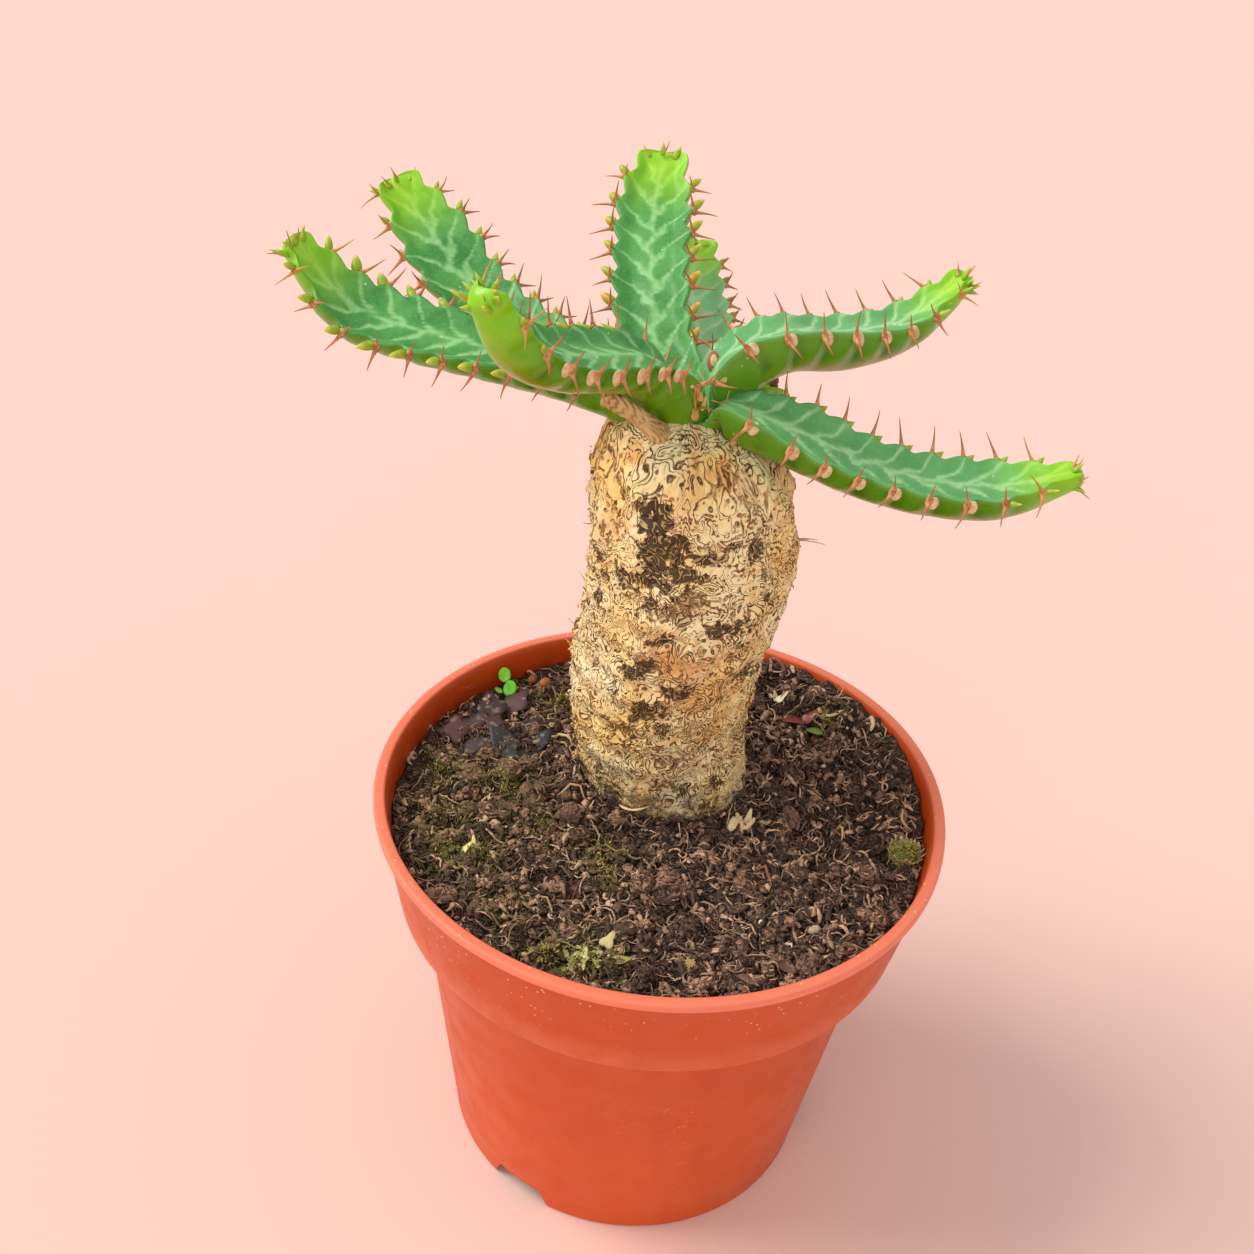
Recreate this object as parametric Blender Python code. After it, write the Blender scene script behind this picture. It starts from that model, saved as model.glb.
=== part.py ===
"""A potted Euphorbia stellata: a swollen caudex with a crown of flat, toothed, spiny stems.

The plant stands in peat in a standard 12 cm plastic nursery pot. The pot's base is centred on
the origin and rests on z = 0. The front of the plant faces -Y. All sizes below are millimetres,
and every mesh is scaled to metres when its object is made.
"""
import math
import random

import bmesh
import bpy
from mathutils import Vector
from mathutils.bvhtree import BVHTree

MM = 0.001
CLEARANCE = 0.3
SEED = 7

# Pot
RIM_RADIUS = 60.0
POT_HEIGHT = 93.0
WALL = 1.2
BASE_RADIUS = 41.4
FOOT_LINE_HEIGHT = 6.0
FOOT_LINE_RADIUS = 42.2
COLLAR_BOTTOM = 69.0
COLLAR_BOTTOM_RADIUS = 54.9
COLLAR_TOP_RADIUS = 58.7
BODY_TOP_RADIUS = 50.2
LIP_DROP = 2.0
LIP_WIDTH = 2.4
EDGE = 0.6
FOOT_RIDGE = 0.4
FLOOR_THICKNESS = 1.6
FLOOR_CORNER_HEIGHT = 3.0
FLOOR_CORNER_INSET = 1.4
STEP_INSIDE = COLLAR_BOTTOM + WALL
STEP_FALL = 0.5
# The soft wall is pushed out a little at the back right
BULGE_AZIMUTH = 42.0
BULGE_SPREAD = 60.0
BULGE_DEPTH = 2.4
POT_STEPS = 48
NOTCH_COUNT = 3
NOTCH_AZIMUTH = 237.0
NOTCH_WIDTH = 16.0
NOTCH_HEIGHT = 4.8
NOTCH_END_SLOPE = 2.4
NOTCH_BELOW = 1.0
NOTCH_INWARD = 6.5
NOTCH_OUTWARD = 6.0

# Soil
SOIL_HEIGHT = 85.6
SOIL_DISH = 1.7
SOIL_HEAP = 6.4
SOIL_HEAP_AZIMUTH = 52.0
SOIL_HEAP_SPREAD = 36.0
SOIL_CRUMB = 0.55
SOIL_CORNER_INSET = 1.8
SOIL_STEPS = 40
SOIL_RINGS = 7

# Caudex
CAUDEX_STEPS = 40
RELIEF_DEPTH = 0.9
SOIL_LINE = 83.0
# Height, radius and centre x, y of the caudex, from the buried root tip to the crown
CAUDEX_PROFILE = (
    (53.0, 3.0, 0.0, 15.5),
    (58.0, 7.5, 0.0, 15.5),
    (66.0, 11.5, 0.0, 15.5),
    (76.0, 14.6, 0.2, 15.5),
    (84.0, 16.2, 0.3, 15.3),
    (91.5, 18.0, -0.4, 15.0),
    (99.5, 18.9, -1.0, 14.8),
    (115.5, 20.0, -1.2, 14.0),
    (131.0, 20.9, 0.7, 13.0),
    (145.5, 21.0, 0.9, 12.0),
    (157.0, 20.3, -0.4, 11.0),
    (164.5, 19.5, -0.6, 10.5),
    (169.8, 16.6, -0.7, 10.3),
    (173.6, 11.5, -0.8, 10.3),
    (176.0, 6.5, -0.8, 10.3),
)
CAUDEX_RING_STEP = 3.6
SHOULDER_HEIGHT = 150.0
SHOULDER_TILT = 0.16
# Centre line and radius of the dried stump of an old stem, from the crown outward
DRY_STUB = (
    (-7.6, 2.6, 171.0, 2.8),
    (-8.6, 0.2, 175.4, 2.1),
    (-12.0, -0.2, 178.6, 1.6),
    (-15.7, -0.2, 181.0, 1.4),
    (-18.6, 0.0, 181.9, 0.9),
)

# Stems
RING_STEP = 2.2
TOOTH_HEIGHT = 1.7
TOOTH_APEX = 0.74
BARE_NECK = 9.0
CHANNEL_DEPTH = 1.1
SPINE_LENGTH = 5.0
SHIELD_HALF_WIDTH = 0.42
SHIELD_RISE = 0.35
SHIELD_ROOT = 0.7
SPINE_START = 7.0
# Directions of a pair's two spines, as parts along the face normal and outward from the margin
UPPER_SPINE = (0.95, 0.30)
LOWER_SPINE = (-0.68, 0.54)
BUD_LENGTH = 2.2
BUD_RADIUS = 0.85
BUD_SIDES = 3
BUD_ROOT = 0.7
BUD_OFFSET = 1.7
TIP_LEAF_LENGTH = 3.0
NOSE_LENGTH = 2.6
# Room left round a piece that spines and buds have to stay out of
SPARE = 0.8
# Each station is x, y, z of the midline of a stem's upper face, half its width, the depth of
# its keel and its roll in degrees. The first tooth on each margin is given by its distance
# from the tip, with the pitch of the teeth behind it.
STEMS = {
    "stem_front_left": {
        "stations": (
            (-2.0, 9.5, 176.0, 4.6, 6.5, 3), (-5.4, 8.6, 184.4, 6.4, 10.5, 6),
            (-11.4, 4.4, 189.4, 7.1, 9.0, 8),
            (-18.1, -2.8, 192.1, 7.3, 7.8, 10), (-25.0, -10.3, 194.8, 7.2, 7.5, 11),
            (-31.2, -17.0, 199.9, 6.6, 7.0, 7),
            (-36.4, -22.6, 209.0, 3.6, 4.6, 0),
        ),
        "left": (5.4, 6.0), "right": (2.8, 5.6),
    },
    "stem_front_right": {
        "stations": (
            (0.8, 8.6, 176.5, 4.2, 5.0, 6), (3.6, 6.8, 180.6, 5.2, 7.0, 2),
            (10.6, 5.4, 179.4, 6.6, 8.0, -6),
            (21.1, 6.4, 175.3, 7.9, 8.2, -13), (32.5, 7.8, 170.5, 7.2, 8.2, -9),
            (45.0, 9.0, 167.6, 7.2, 8.0, -7),
            (57.6, 10.0, 167.6, 7.0, 7.6, -4), (70.4, 10.6, 170.8, 3.0, 4.0, 4),
        ),
        "left": (6.2, 6.4), "right": (6.8, 7.2),
    },
    "stem_right": {
        "stations": (
            (0.4, 11.6, 176.0, 4.0, 5.0, 10), (0.2, 11.6, 183.0, 5.4, 8.5, 20),
            (4.5, 14.1, 188.3, 6.6, 9.6, 20),
            (14.2, 19.4, 190.6, 7.7, 8.8, 10), (26.1, 26.3, 188.9, 7.3, 8.4, 9),
            (37.7, 33.3, 189.3, 5.5, 6.6, 5),
            (48.1, 39.6, 195.6, 2.8, 3.8, 2),
        ),
        "left": (5.8, 6.2), "right": (3.2, 7.1),
    },
    "stem_centre": {
        "stations": (
            (-2.2, 12.6, 176.2, 4.0, 5.0, 15), (-6.4, 17.4, 179.0, 6.4, 6.5, 15),
            (-10.3, 25.5, 183.2, 7.1, 7.0, 15),
            (-12.1, 35.3, 190.0, 7.4, 7.0, 18), (-12.8, 46.0, 195.7, 7.4, 7.0, 13),
            (-12.9, 57.0, 200.2, 7.2, 6.8, 9),
            (-12.1, 66.0, 205.8, 4.8, 4.6, 12),
        ),
        "left": (6.1, 6.5), "right": (7.3, 7.2),
    },
    "stem_left": {
        "stations": (
            (-4.4, 10.0, 175.5, 4.0, 4.5, 2), (-14.4, 10.7, 178.8, 6.0, 6.5, 3),
            (-26.7, 13.2, 181.6, 7.2, 7.0, 5),
            (-40.6, 16.1, 182.7, 7.5, 7.0, 10), (-54.5, 19.3, 183.4, 7.3, 7.0, 17),
            (-67.6, 22.5, 185.8, 7.1, 7.0, 18),
            (-78.4, 25.3, 195.2, 3.6, 4.2, 12),
        ),
        "left": (3.6, 6.5), "right": (4.9, 6.6),
    },
    "stem_back_left": {
        "stations": (
            (-3.4, 12.6, 175.5, 4.0, 4.5, 4), (-13.4, 16.2, 178.6, 6.0, 6.0, 6),
            (-25.1, 23.2, 178.9, 7.2, 7.0, 10),
            (-36.6, 32.8, 179.5, 7.3, 7.0, 16), (-47.5, 42.7, 182.6, 7.5, 7.0, 17),
            (-57.0, 51.9, 189.6, 7.4, 6.8, 27),
            (-65.9, 60.5, 197.0, 4.5, 4.6, 21),
        ),
        "left": (0.6, 7.5), "right": (5.6, 6.9),
    },
    "stem_back": {
        "stations": (
            (0.8, 14.0, 176.0, 4.0, 4.5, 0), (0.8, 21.0, 178.0, 6.0, 6.5, 0),
            (-0.5, 29.8, 179.4, 6.8, 7.0, 0),
            (-1.9, 39.4, 180.7, 7.1, 7.0, 1), (-3.0, 49.0, 182.1, 7.0, 7.0, -5),
            (-3.6, 58.2, 184.6, 6.0, 6.0, 0),
            (-3.1, 67.0, 188.0, 3.9, 4.2, -3),
        ),
        "left": (5.0, 6.4), "right": (5.6, 6.3),
    },
    "stem_stub": {
        "stations": (
            (2.6, 13.2, 176.2, 3.0, 3.0, 0), (6.4, 16.6, 178.6, 3.7, 4.0, 0),
            (10.2, 19.2, 178.8, 3.7, 4.0, 0),
            (13.4, 21.0, 177.4, 2.3, 2.6, 0),
        ),
        "left": (3.5, 5.5), "right": (5.5, 5.5),
    },
}
STEM_GREEN = (0.06, 0.26, 0.05)
TERRACOTTA = (0.58, 0.075, 0.02)
PEAT = (0.035, 0.02, 0.013)
CORK = (0.55, 0.38, 0.2)


def clear_scene():
    """Remove whatever objects the scene starts with."""
    for item in list(bpy.data.objects):
        bpy.data.objects.remove(item, do_unlink=True)


def make_material(name, colour, roughness):
    """A Principled material of one plain colour."""
    material = bpy.data.materials.new(name)
    material.use_nodes = True
    shader = material.node_tree.nodes["Principled BSDF"]
    shader.inputs["Base Color"].default_value = (*colour, 1.0)
    shader.inputs["Roughness"].default_value = roughness
    shader.inputs["Metallic"].default_value = 0.0
    return material


def make_object(name, shape, material=None):
    """Turn a bmesh in millimetres into an object in metres."""
    bmesh.ops.scale(shape, vec=(MM, MM, MM), verts=shape.verts)
    bmesh.ops.recalc_face_normals(shape, faces=shape.faces)
    mesh = bpy.data.meshes.new(name)
    shape.to_mesh(mesh)
    shape.free()
    mesh.shade_smooth()
    mesh.set_sharp_from_angle(angle=math.radians(35.0))
    item = bpy.data.objects.new(name, mesh)
    bpy.context.scene.collection.objects.link(item)
    if material:
        mesh.materials.append(material)
    return item


def loft(rings):
    """A closed body of triangles through rings of equal length, with a fan over each end.

    The diagonals all run the same way, so a body and its grown copy stay evenly apart.
    """
    shape = bmesh.new()
    rows = [[shape.verts.new(point) for point in ring] for ring in rings]
    count = len(rows[0])
    for lower, upper in zip(rows, rows[1:]):
        for index in range(count):
            after = (index + 1) % count
            shape.faces.new((lower[index], lower[after], upper[after]))
            shape.faces.new((lower[index], upper[after], upper[index]))
    for row in (rows[0], rows[-1]):
        middle = shape.verts.new(sum((vert.co for vert in row), Vector()) / count)
        for index in range(count):
            shape.faces.new((row[index], row[(index + 1) % count], middle))
    return shape


def turned_body(profile, steps):
    """The pot's closed body, turned round Z from a profile whose ends both lie on the axis."""
    rings = []
    for radius, height in profile[1:-1]:
        angles = [2.0 * math.pi * index / steps for index in range(steps)]
        ring = [Vector((radius * math.cos(a), radius * math.sin(a), height)) for a in angles]
        rings.append([bulged(point) for point in ring])
    return loft(rings)


def apply_boolean(item, operation, cutter=None, collection=None, solver="EXACT"):
    """Carry out one Boolean on an object and keep its result as the object's mesh.

    The EXACT solver leaves open edges where the stems' necks and spines cross at slight angles,
    so the stems ask for the MANIFOLD one. All their meshes are closed.
    """
    modifier = item.modifiers.new("cut", "BOOLEAN")
    modifier.operation = operation
    modifier.solver = solver
    if collection:
        modifier.operand_type = "COLLECTION"
        modifier.collection = collection
    else:
        modifier.object = cutter
    graph = bpy.context.evaluated_depsgraph_get()
    result = bpy.data.meshes.new_from_object(item.evaluated_get(graph))
    item.modifiers.clear()
    item.data = result


def remove_objects(items):
    for item in items:
        bpy.data.objects.remove(item, do_unlink=True)


def keep_largest_body(item):
    """Drop the loose scraps that a cut leaves beside the main body."""
    shape = bmesh.new()
    shape.from_mesh(item.data)
    unseen = set(shape.verts)
    bodies = []
    while unseen:
        queue = [unseen.pop()]
        body = set(queue)
        while queue:
            vert = queue.pop()
            for edge in vert.link_edges:
                other = edge.other_vert(vert)
                if other in unseen:
                    unseen.remove(other)
                    body.add(other)
                    queue.append(other)
        bodies.append(body)
    bodies.sort(key=len, reverse=True)
    for scrap in bodies[1:]:
        bmesh.ops.delete(shape, geom=list(scrap), context="VERTS")
    shape.to_mesh(item.data)
    shape.free()


def smooth_value(values, place):
    """A Catmull-Rom curve through equally spaced values, which may be numbers or vectors."""
    last = len(values) - 1
    index = min(int(place), last - 1)
    part = place - index
    before = values[index - 1] if index else values[0] * 2.0 - values[1]
    first = values[index]
    second = values[index + 1]
    after = values[index + 2] if index + 2 <= last else values[last] * 2.0 - values[last - 1]
    return 0.5 * (
        first * 2.0
        + (second - before) * part
        + (before * 2.0 - first * 5.0 + second * 4.0 - after) * part ** 2
        + (first * 3.0 - before - second * 3.0 + after) * part ** 3
    )


# Pot

def inner_radius(height):
    """Radius of the inside of the pot's wall at a height."""
    if height >= STEP_INSIDE:
        part = (height - COLLAR_BOTTOM) / (POT_HEIGHT - COLLAR_BOTTOM)
        return COLLAR_BOTTOM_RADIUS + (COLLAR_TOP_RADIUS - COLLAR_BOTTOM_RADIUS) * part - WALL
    part = (height - FOOT_LINE_HEIGHT) / (COLLAR_BOTTOM - FOOT_LINE_HEIGHT)
    return FOOT_LINE_RADIUS + (BODY_TOP_RADIUS - FOOT_LINE_RADIUS) * part - WALL


def bulged(point):
    """A point of the pot or the soil, moved with the wall where that is pushed out of round."""
    away = (math.degrees(math.atan2(point.y, point.x)) - BULGE_AZIMUTH) / BULGE_SPREAD
    share = math.cos(0.5 * math.pi * min(1.0, abs(away))) ** 2
    factor = 1.0 + share * BULGE_DEPTH / RIM_RADIUS * (point.z / POT_HEIGHT) ** 3
    return Vector((point.x * factor, point.y * factor, point.z))


def build_pot():
    """The nursery pot: tapered body, wide collar, rolled lip and drain notches at the base."""
    lip_bottom = POT_HEIGHT - LIP_DROP
    step_foot = STEP_INSIDE - STEP_FALL
    profile = [
        (0.0, 0.0),
        (BASE_RADIUS - EDGE, 0.0),
        (BASE_RADIUS, EDGE),
        (FOOT_LINE_RADIUS - FOOT_RIDGE, FOOT_LINE_HEIGHT),
        (FOOT_LINE_RADIUS, FOOT_LINE_HEIGHT + EDGE),
        (BODY_TOP_RADIUS, COLLAR_BOTTOM),
        (COLLAR_BOTTOM_RADIUS - EDGE, COLLAR_BOTTOM),
        (COLLAR_BOTTOM_RADIUS, COLLAR_BOTTOM + EDGE),
        (COLLAR_TOP_RADIUS, lip_bottom),
        (RIM_RADIUS - EDGE, lip_bottom),
        (RIM_RADIUS, lip_bottom + LIP_DROP / 2.0),
        (RIM_RADIUS - EDGE, POT_HEIGHT),
        (RIM_RADIUS - LIP_WIDTH, POT_HEIGHT),
        (inner_radius(lip_bottom), lip_bottom),
        (inner_radius(STEP_INSIDE), STEP_INSIDE),
        (inner_radius(step_foot), step_foot),
        (inner_radius(FLOOR_CORNER_HEIGHT), FLOOR_CORNER_HEIGHT),
        (inner_radius(FLOOR_CORNER_HEIGHT) - FLOOR_CORNER_INSET, FLOOR_THICKNESS),
        (0.0, FLOOR_THICKNESS),
    ]
    plastic = make_material("pot_plastic", TERRACOTTA, 0.42)
    pot = make_object("pot", turned_body(profile, POT_STEPS), plastic)
    for index in range(NOTCH_COUNT):
        azimuth = math.radians(NOTCH_AZIMUTH + 360.0 * index / NOTCH_COUNT)
        cutter = notch_cutter(azimuth)
        apply_boolean(pot, "DIFFERENCE", cutter)
        remove_objects([cutter])
    return pot


def notch_cutter(azimuth):
    """A wedge with sloping ends that cuts one drain slot through the corner of wall and floor."""
    outward = Vector((math.cos(azimuth), math.sin(azimuth), 0.0))
    along = Vector((-outward.y, outward.x, 0.0))
    low_half = NOTCH_WIDTH / 2.0
    high_half = low_half - NOTCH_END_SLOPE
    outline = (
        (-low_half, -NOTCH_BELOW),
        (low_half, -NOTCH_BELOW),
        (high_half, NOTCH_HEIGHT),
        (-high_half, NOTCH_HEIGHT),
    )
    rings = []
    for radius in (BASE_RADIUS - NOTCH_INWARD, BASE_RADIUS + NOTCH_OUTWARD):
        rings.append([outward * radius + along * side + Vector((0.0, 0.0, rise)) for side, rise in outline])
    return make_object("notch_cutter", loft(rings))


# Caudex

def caudex_relief(azimuth, height):
    """Net of cork ridges: long and upright near the crown, broken into short knots lower down."""
    fade = min(1.0, max(0.0, (height - SOIL_LINE) / 6.0))
    upright = math.sin(11.0 * azimuth + 1.6 * math.sin(0.23 * height))
    knots = math.sin(7.0 * azimuth - 0.55 * height) * math.sin(5.0 * azimuth + 0.42 * height)
    blend = min(1.0, max(0.0, (height - 135.0) / 30.0))
    return RELIEF_DEPTH * fade * (0.35 * upright + (1.2 - 0.9 * blend) * knots + 0.6 * blend * upright)


def caudex_ring(height, radius, centre, grow):
    """One ring round the caudex, slightly squared, with its cork relief and sloping shoulders."""
    tilt = SHOULDER_TILT * min(1.0, max(0.0, (height - SHOULDER_HEIGHT) / 20.0))
    ring = []
    for index in range(CAUDEX_STEPS):
        azimuth = 2.0 * math.pi * index / CAUDEX_STEPS
        squared = 1.0 + 0.025 * math.cos(4.0 * azimuth)
        reach = radius * squared + grow + caudex_relief(azimuth, height) * min(1.0, radius / 12.0)
        x = reach * math.cos(azimuth)
        y = reach * math.sin(azimuth)
        ring.append(Vector((centre[0] + x, centre[1] + y, height - tilt * x)))
    return ring


def caudex_shape(grow=0.0):
    """The caudex with its root, as a body grown outward by the given distance."""
    radii = [row[1] for row in CAUDEX_PROFILE]
    centres = [Vector(row[2:]) for row in CAUDEX_PROFILE]
    rings = [caudex_ring(CAUDEX_PROFILE[0][0] - grow, radii[0], centres[0], grow)]
    for index, (lower, upper) in enumerate(zip(CAUDEX_PROFILE, CAUDEX_PROFILE[1:])):
        pieces = max(1, round((upper[0] - lower[0]) / CAUDEX_RING_STEP))
        if upper[0] <= SOIL_LINE:
            pieces = 1
        for piece in range(pieces):
            part = (piece + 1) / pieces
            height = lower[0] + (upper[0] - lower[0]) * part
            lift = grow if height > SHOULDER_HEIGHT + 15.0 else 0.0
            radius = smooth_value(radii, index + part)
            centre = smooth_value(centres, index + part)
            rings.append(caudex_ring(height + lift, radius, centre, grow))
    return loft(rings)


def dry_stub_shape(grow=0.0, sides=6):
    """The dried stump: a tapering rod, grown outward by the given distance."""
    points = [Vector(row[:3]) for row in DRY_STUB]
    rings = []
    for index, point in enumerate(points):
        radius = DRY_STUB[index][3] + grow
        along = (points[min(len(points) - 1, index + 1)] - points[max(0, index - 1)]).normalized()
        across = along.cross(Vector((0.0, 1.0, 0.0))).normalized()
        other = along.cross(across)
        angles = [2.0 * math.pi * side / sides for side in range(sides)]
        rings.append([point + across * radius * math.cos(a) + other * radius * math.sin(a) for a in angles])
    return loft(rings)


def build_caudex():
    """The caudex with the dried-up stump of an old stem grown into its crown."""
    caudex = make_object("caudex", caudex_shape(), make_material("caudex_cork", CORK, 0.9))
    stump = make_object("stump", dry_stub_shape())
    apply_boolean(caudex, "UNION", stump)
    remove_objects([stump])
    return caudex


# Soil

def soil_rise(x, y):
    """Height of the soil's surface: low in the middle, heaped to the rim at the back right."""
    reach = math.hypot(x, y) / inner_radius(SOIL_HEIGHT)
    dish = -SOIL_DISH * (1.0 - reach ** 4)
    away = (math.degrees(math.atan2(y, x)) - SOIL_HEAP_AZIMUTH) / SOIL_HEAP_SPREAD
    heap = SOIL_HEAP * math.exp(-away * away) * reach ** 3
    crumbs = math.sin(0.9 * x + 1.3) * math.sin(0.8 * y + 0.4) + 0.7 * math.sin(0.5 * x - 0.7 * y)
    return SOIL_HEIGHT + dish + heap + SOIL_CRUMB * crumbs


def soil_point(angle, share):
    """A point of the soil's surface, at a share of the way from the pot's axis to its wall."""
    reach = share * inner_radius(SOIL_HEIGHT)
    height = soil_rise(reach * math.cos(angle), reach * math.sin(angle))
    radius = share * (inner_radius(height) - CLEARANCE)
    return bulged(Vector((radius * math.cos(angle), radius * math.sin(angle), height)))


def build_soil():
    """Peat that fills the pot 0.3 mm clear of it, with a plain hole for the caudex."""
    bottom = FLOOR_THICKNESS + CLEARANCE
    corner = FLOOR_CORNER_HEIGHT + CLEARANCE
    below_step = STEP_INSIDE - STEP_FALL + CLEARANCE
    above_step = STEP_INSIDE + STEP_FALL
    side = [(inner_radius(FLOOR_CORNER_HEIGHT) - SOIL_CORNER_INSET, bottom)]
    side += [(inner_radius(height) - CLEARANCE, height) for height in (corner, below_step, above_step)]
    angles = [2.0 * math.pi * index / SOIL_STEPS for index in range(SOIL_STEPS)]
    rings = []
    for radius, height in side:
        ring = [Vector((radius * math.cos(a), radius * math.sin(a), height)) for a in angles]
        rings.append([bulged(point) for point in ring])
    for index in range(SOIL_RINGS):
        rings.append([soil_point(angle, 1.0 - index / SOIL_RINGS) for angle in angles])
    soil = make_object("soil", loft(rings), make_material("peat", PEAT, 0.95))
    hole = make_object("root_hole", caudex_shape(CLEARANCE))
    apply_boolean(soil, "DIFFERENCE", hole)
    remove_objects([hole])
    keep_largest_body(soil)
    return soil


# Stems

def tooth_rise(distance, first, pitch):
    """Outward rise of a margin: a long slope up to each tooth and a short drop beyond it.

    The distance is measured from the tip, so a tooth's long slope lies on its far side.
    """
    part = ((distance - first) / pitch) % 1.0
    if part < TOOTH_APEX:
        return 0.5 + 0.5 * math.cos(math.pi * part / TOOTH_APEX)
    return 0.5 - 0.5 * math.cos(math.pi * (part - TOOTH_APEX) / (1.0 - TOOTH_APEX))


class Stem:
    """A flat stem swept along its stations, and what grows on it."""

    def __init__(self, stations, left, right):
        self.points = [Vector(row[:3]) for row in stations]
        self.widths = [row[3] for row in stations]
        self.depths = [row[4] for row in stations]
        self.rolls = [math.radians(row[5]) for row in stations]
        self.margins = {-1.0: left, 1.0: right}
        chord = self.points[-1] - self.points[0]
        self.side = Vector((chord.y, -chord.x, 0.0)).normalized()
        self.last = len(stations) - 1
        self.lengths = self.measure()
        self.length = self.lengths[-1]

    def measure(self):
        """Distances along the midline at fine equal steps of the curve's parameter."""
        fine = 20 * self.last
        lengths = [0.0]
        for index in range(fine):
            here = smooth_value(self.points, self.last * index / fine)
            after = smooth_value(self.points, self.last * (index + 1) / fine)
            lengths.append(lengths[-1] + (after - here).length)
        return lengths

    def place_at(self, distance):
        """The curve's parameter at a distance from the root."""
        distance = min(max(distance, 0.0), self.length)
        for index in range(len(self.lengths) - 1):
            if distance <= self.lengths[index + 1]:
                span = self.lengths[index + 1] - self.lengths[index]
                part = (distance - self.lengths[index]) / span
                return self.last * (index + part) / (len(self.lengths) - 1)
        return float(self.last)

    def frame(self, distance):
        """Midline point, direction along the stem, direction to its right and its face normal."""
        place = self.place_at(distance)
        nudge = 0.02
        ahead = smooth_value(self.points, min(place + nudge, self.last))
        behind = smooth_value(self.points, max(place - nudge, 0.0))
        along = (ahead - behind).normalized()
        across = (self.side - along * self.side.dot(along)).normalized()
        normal = across.cross(along)
        roll = smooth_value(self.rolls, place)
        turned = across * math.cos(roll) + normal * math.sin(roll)
        upward = normal * math.cos(roll) - across * math.sin(roll)
        return smooth_value(self.points, place), along, turned, upward

    def half_width(self, distance):
        return smooth_value(self.widths, self.place_at(distance))

    def keel_depth(self, distance):
        return smooth_value(self.depths, self.place_at(distance))

    def reach(self, distance, hand):
        """Distance from the midline to one margin, teeth included."""
        first, pitch = self.margins[hand]
        growth = min(1.0, max(0.0, (distance - BARE_NECK) / BARE_NECK))
        rise = tooth_rise(self.length - distance, first, pitch) - 0.6
        return self.half_width(distance) + TOOTH_HEIGHT * growth * rise

    def margin_point(self, distance, hand):
        centre, _, across, _ = self.frame(distance)
        return centre + across * hand * self.reach(distance, hand)

    def ring(self, distance, grow=0.0):
        """Cross-section: a channelled face above a deep keel."""
        centre, _, across, normal = self.frame(distance)
        right = self.reach(distance, 1.0) + grow
        left = self.reach(distance, -1.0) + grow
        keel = self.keel_depth(distance) + grow
        channel = CHANNEL_DEPTH * min(1.0, self.half_width(distance) / 7.0) - grow
        outline = (
            (right, grow),
            (0.5 * right, -channel),
            (0.0, -0.75 * channel),
            (-0.5 * left, -channel),
            (-left, grow),
            (-0.78 * left, -0.55 * keel),
            (0.0, -keel),
            (0.78 * right, -0.55 * keel),
        )
        return [centre + across * side + normal * rise for side, rise in outline]

    def body(self, grow=0.0):
        """The stem's own body, grown outward by the given distance."""
        count = round(self.length / RING_STEP)
        rings = [self.ring(self.length * index / count, grow) for index in range(count + 1)]
        centre, along, _, normal = self.frame(self.length)
        core = centre - normal * 0.3 * self.keel_depth(self.length)
        edge = rings[-1]
        for turn in (30.0, 62.0):
            ahead = along * (NOSE_LENGTH + grow) * math.sin(math.radians(turn))
            rings.append([core + ahead + (point - core) * math.cos(math.radians(turn)) for point in edge])
        return loft(rings)

    def teeth(self):
        """Distance from the root and side of every tooth that carries spines."""
        found = []
        for hand, (first, pitch) in self.margins.items():
            distance = self.length - first
            while distance > SPINE_START:
                found.append((distance, hand))
                distance -= pitch
        return found


def spine_pair(stem, distance, hand, chance):
    """The corners of the horny shield on a tooth and the tips of the two spines that leave it."""
    _, along, across, normal = stem.frame(distance)
    outward = across * hand
    root = stem.margin_point(distance, hand)
    length = SPINE_LENGTH * chance.uniform(0.85, 1.15)
    tips = []
    for rise, out in (UPPER_SPINE, LOWER_SPINE):
        lean = chance.uniform(-0.3, 0.05)
        tips.append(root + (normal * rise + outward * out + along * lean) * length)
    shield = (
        root - outward * SHIELD_ROOT,
        root + outward * SHIELD_RISE + along * SHIELD_HALF_WIDTH,
        root + outward * SHIELD_RISE - along * SHIELD_HALF_WIDTH,
    )
    return shield, tips


def spindle(shield, tips):
    """A closed three-sided body from one spine's tip through the shield to the other's tip."""
    shape = bmesh.new()
    ring = [shape.verts.new(point) for point in shield]
    for tip in tips:
        point_vert = shape.verts.new(tip)
        for index in range(3):
            shape.faces.new((ring[index], ring[(index + 1) % 3], point_vert))
    return shape


def cone(root, direction, radius, length, sides=BUD_SIDES):
    """A thin pointed cone whose closed root is sunk in what it grows on."""
    shape = bmesh.new()
    direction = direction.normalized()
    across = direction.orthogonal().normalized()
    other = direction.cross(across)
    base = []
    for side in range(sides):
        angle = 2.0 * math.pi * side / sides
        aside = across * math.cos(angle) + other * math.sin(angle)
        base.append(shape.verts.new(root + aside * radius))
    tip = shape.verts.new(root + direction * length)
    for index in range(sides):
        shape.faces.new((base[index], base[(index + 1) % sides], tip))
    shape.faces.new(base)
    return shape


def bud(stem, distance, hand):
    """The egg-like bud that sits just beyond a tooth's spines, toward the stem's tip."""
    beyond = min(distance + BUD_OFFSET, stem.length - 0.3)
    _, along, across, _ = stem.frame(beyond)
    outward = across * hand
    root = stem.margin_point(beyond, hand) - outward * BUD_ROOT
    return cone(root, outward * 0.8 + along * 0.7, BUD_RADIUS, BUD_LENGTH)


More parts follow.
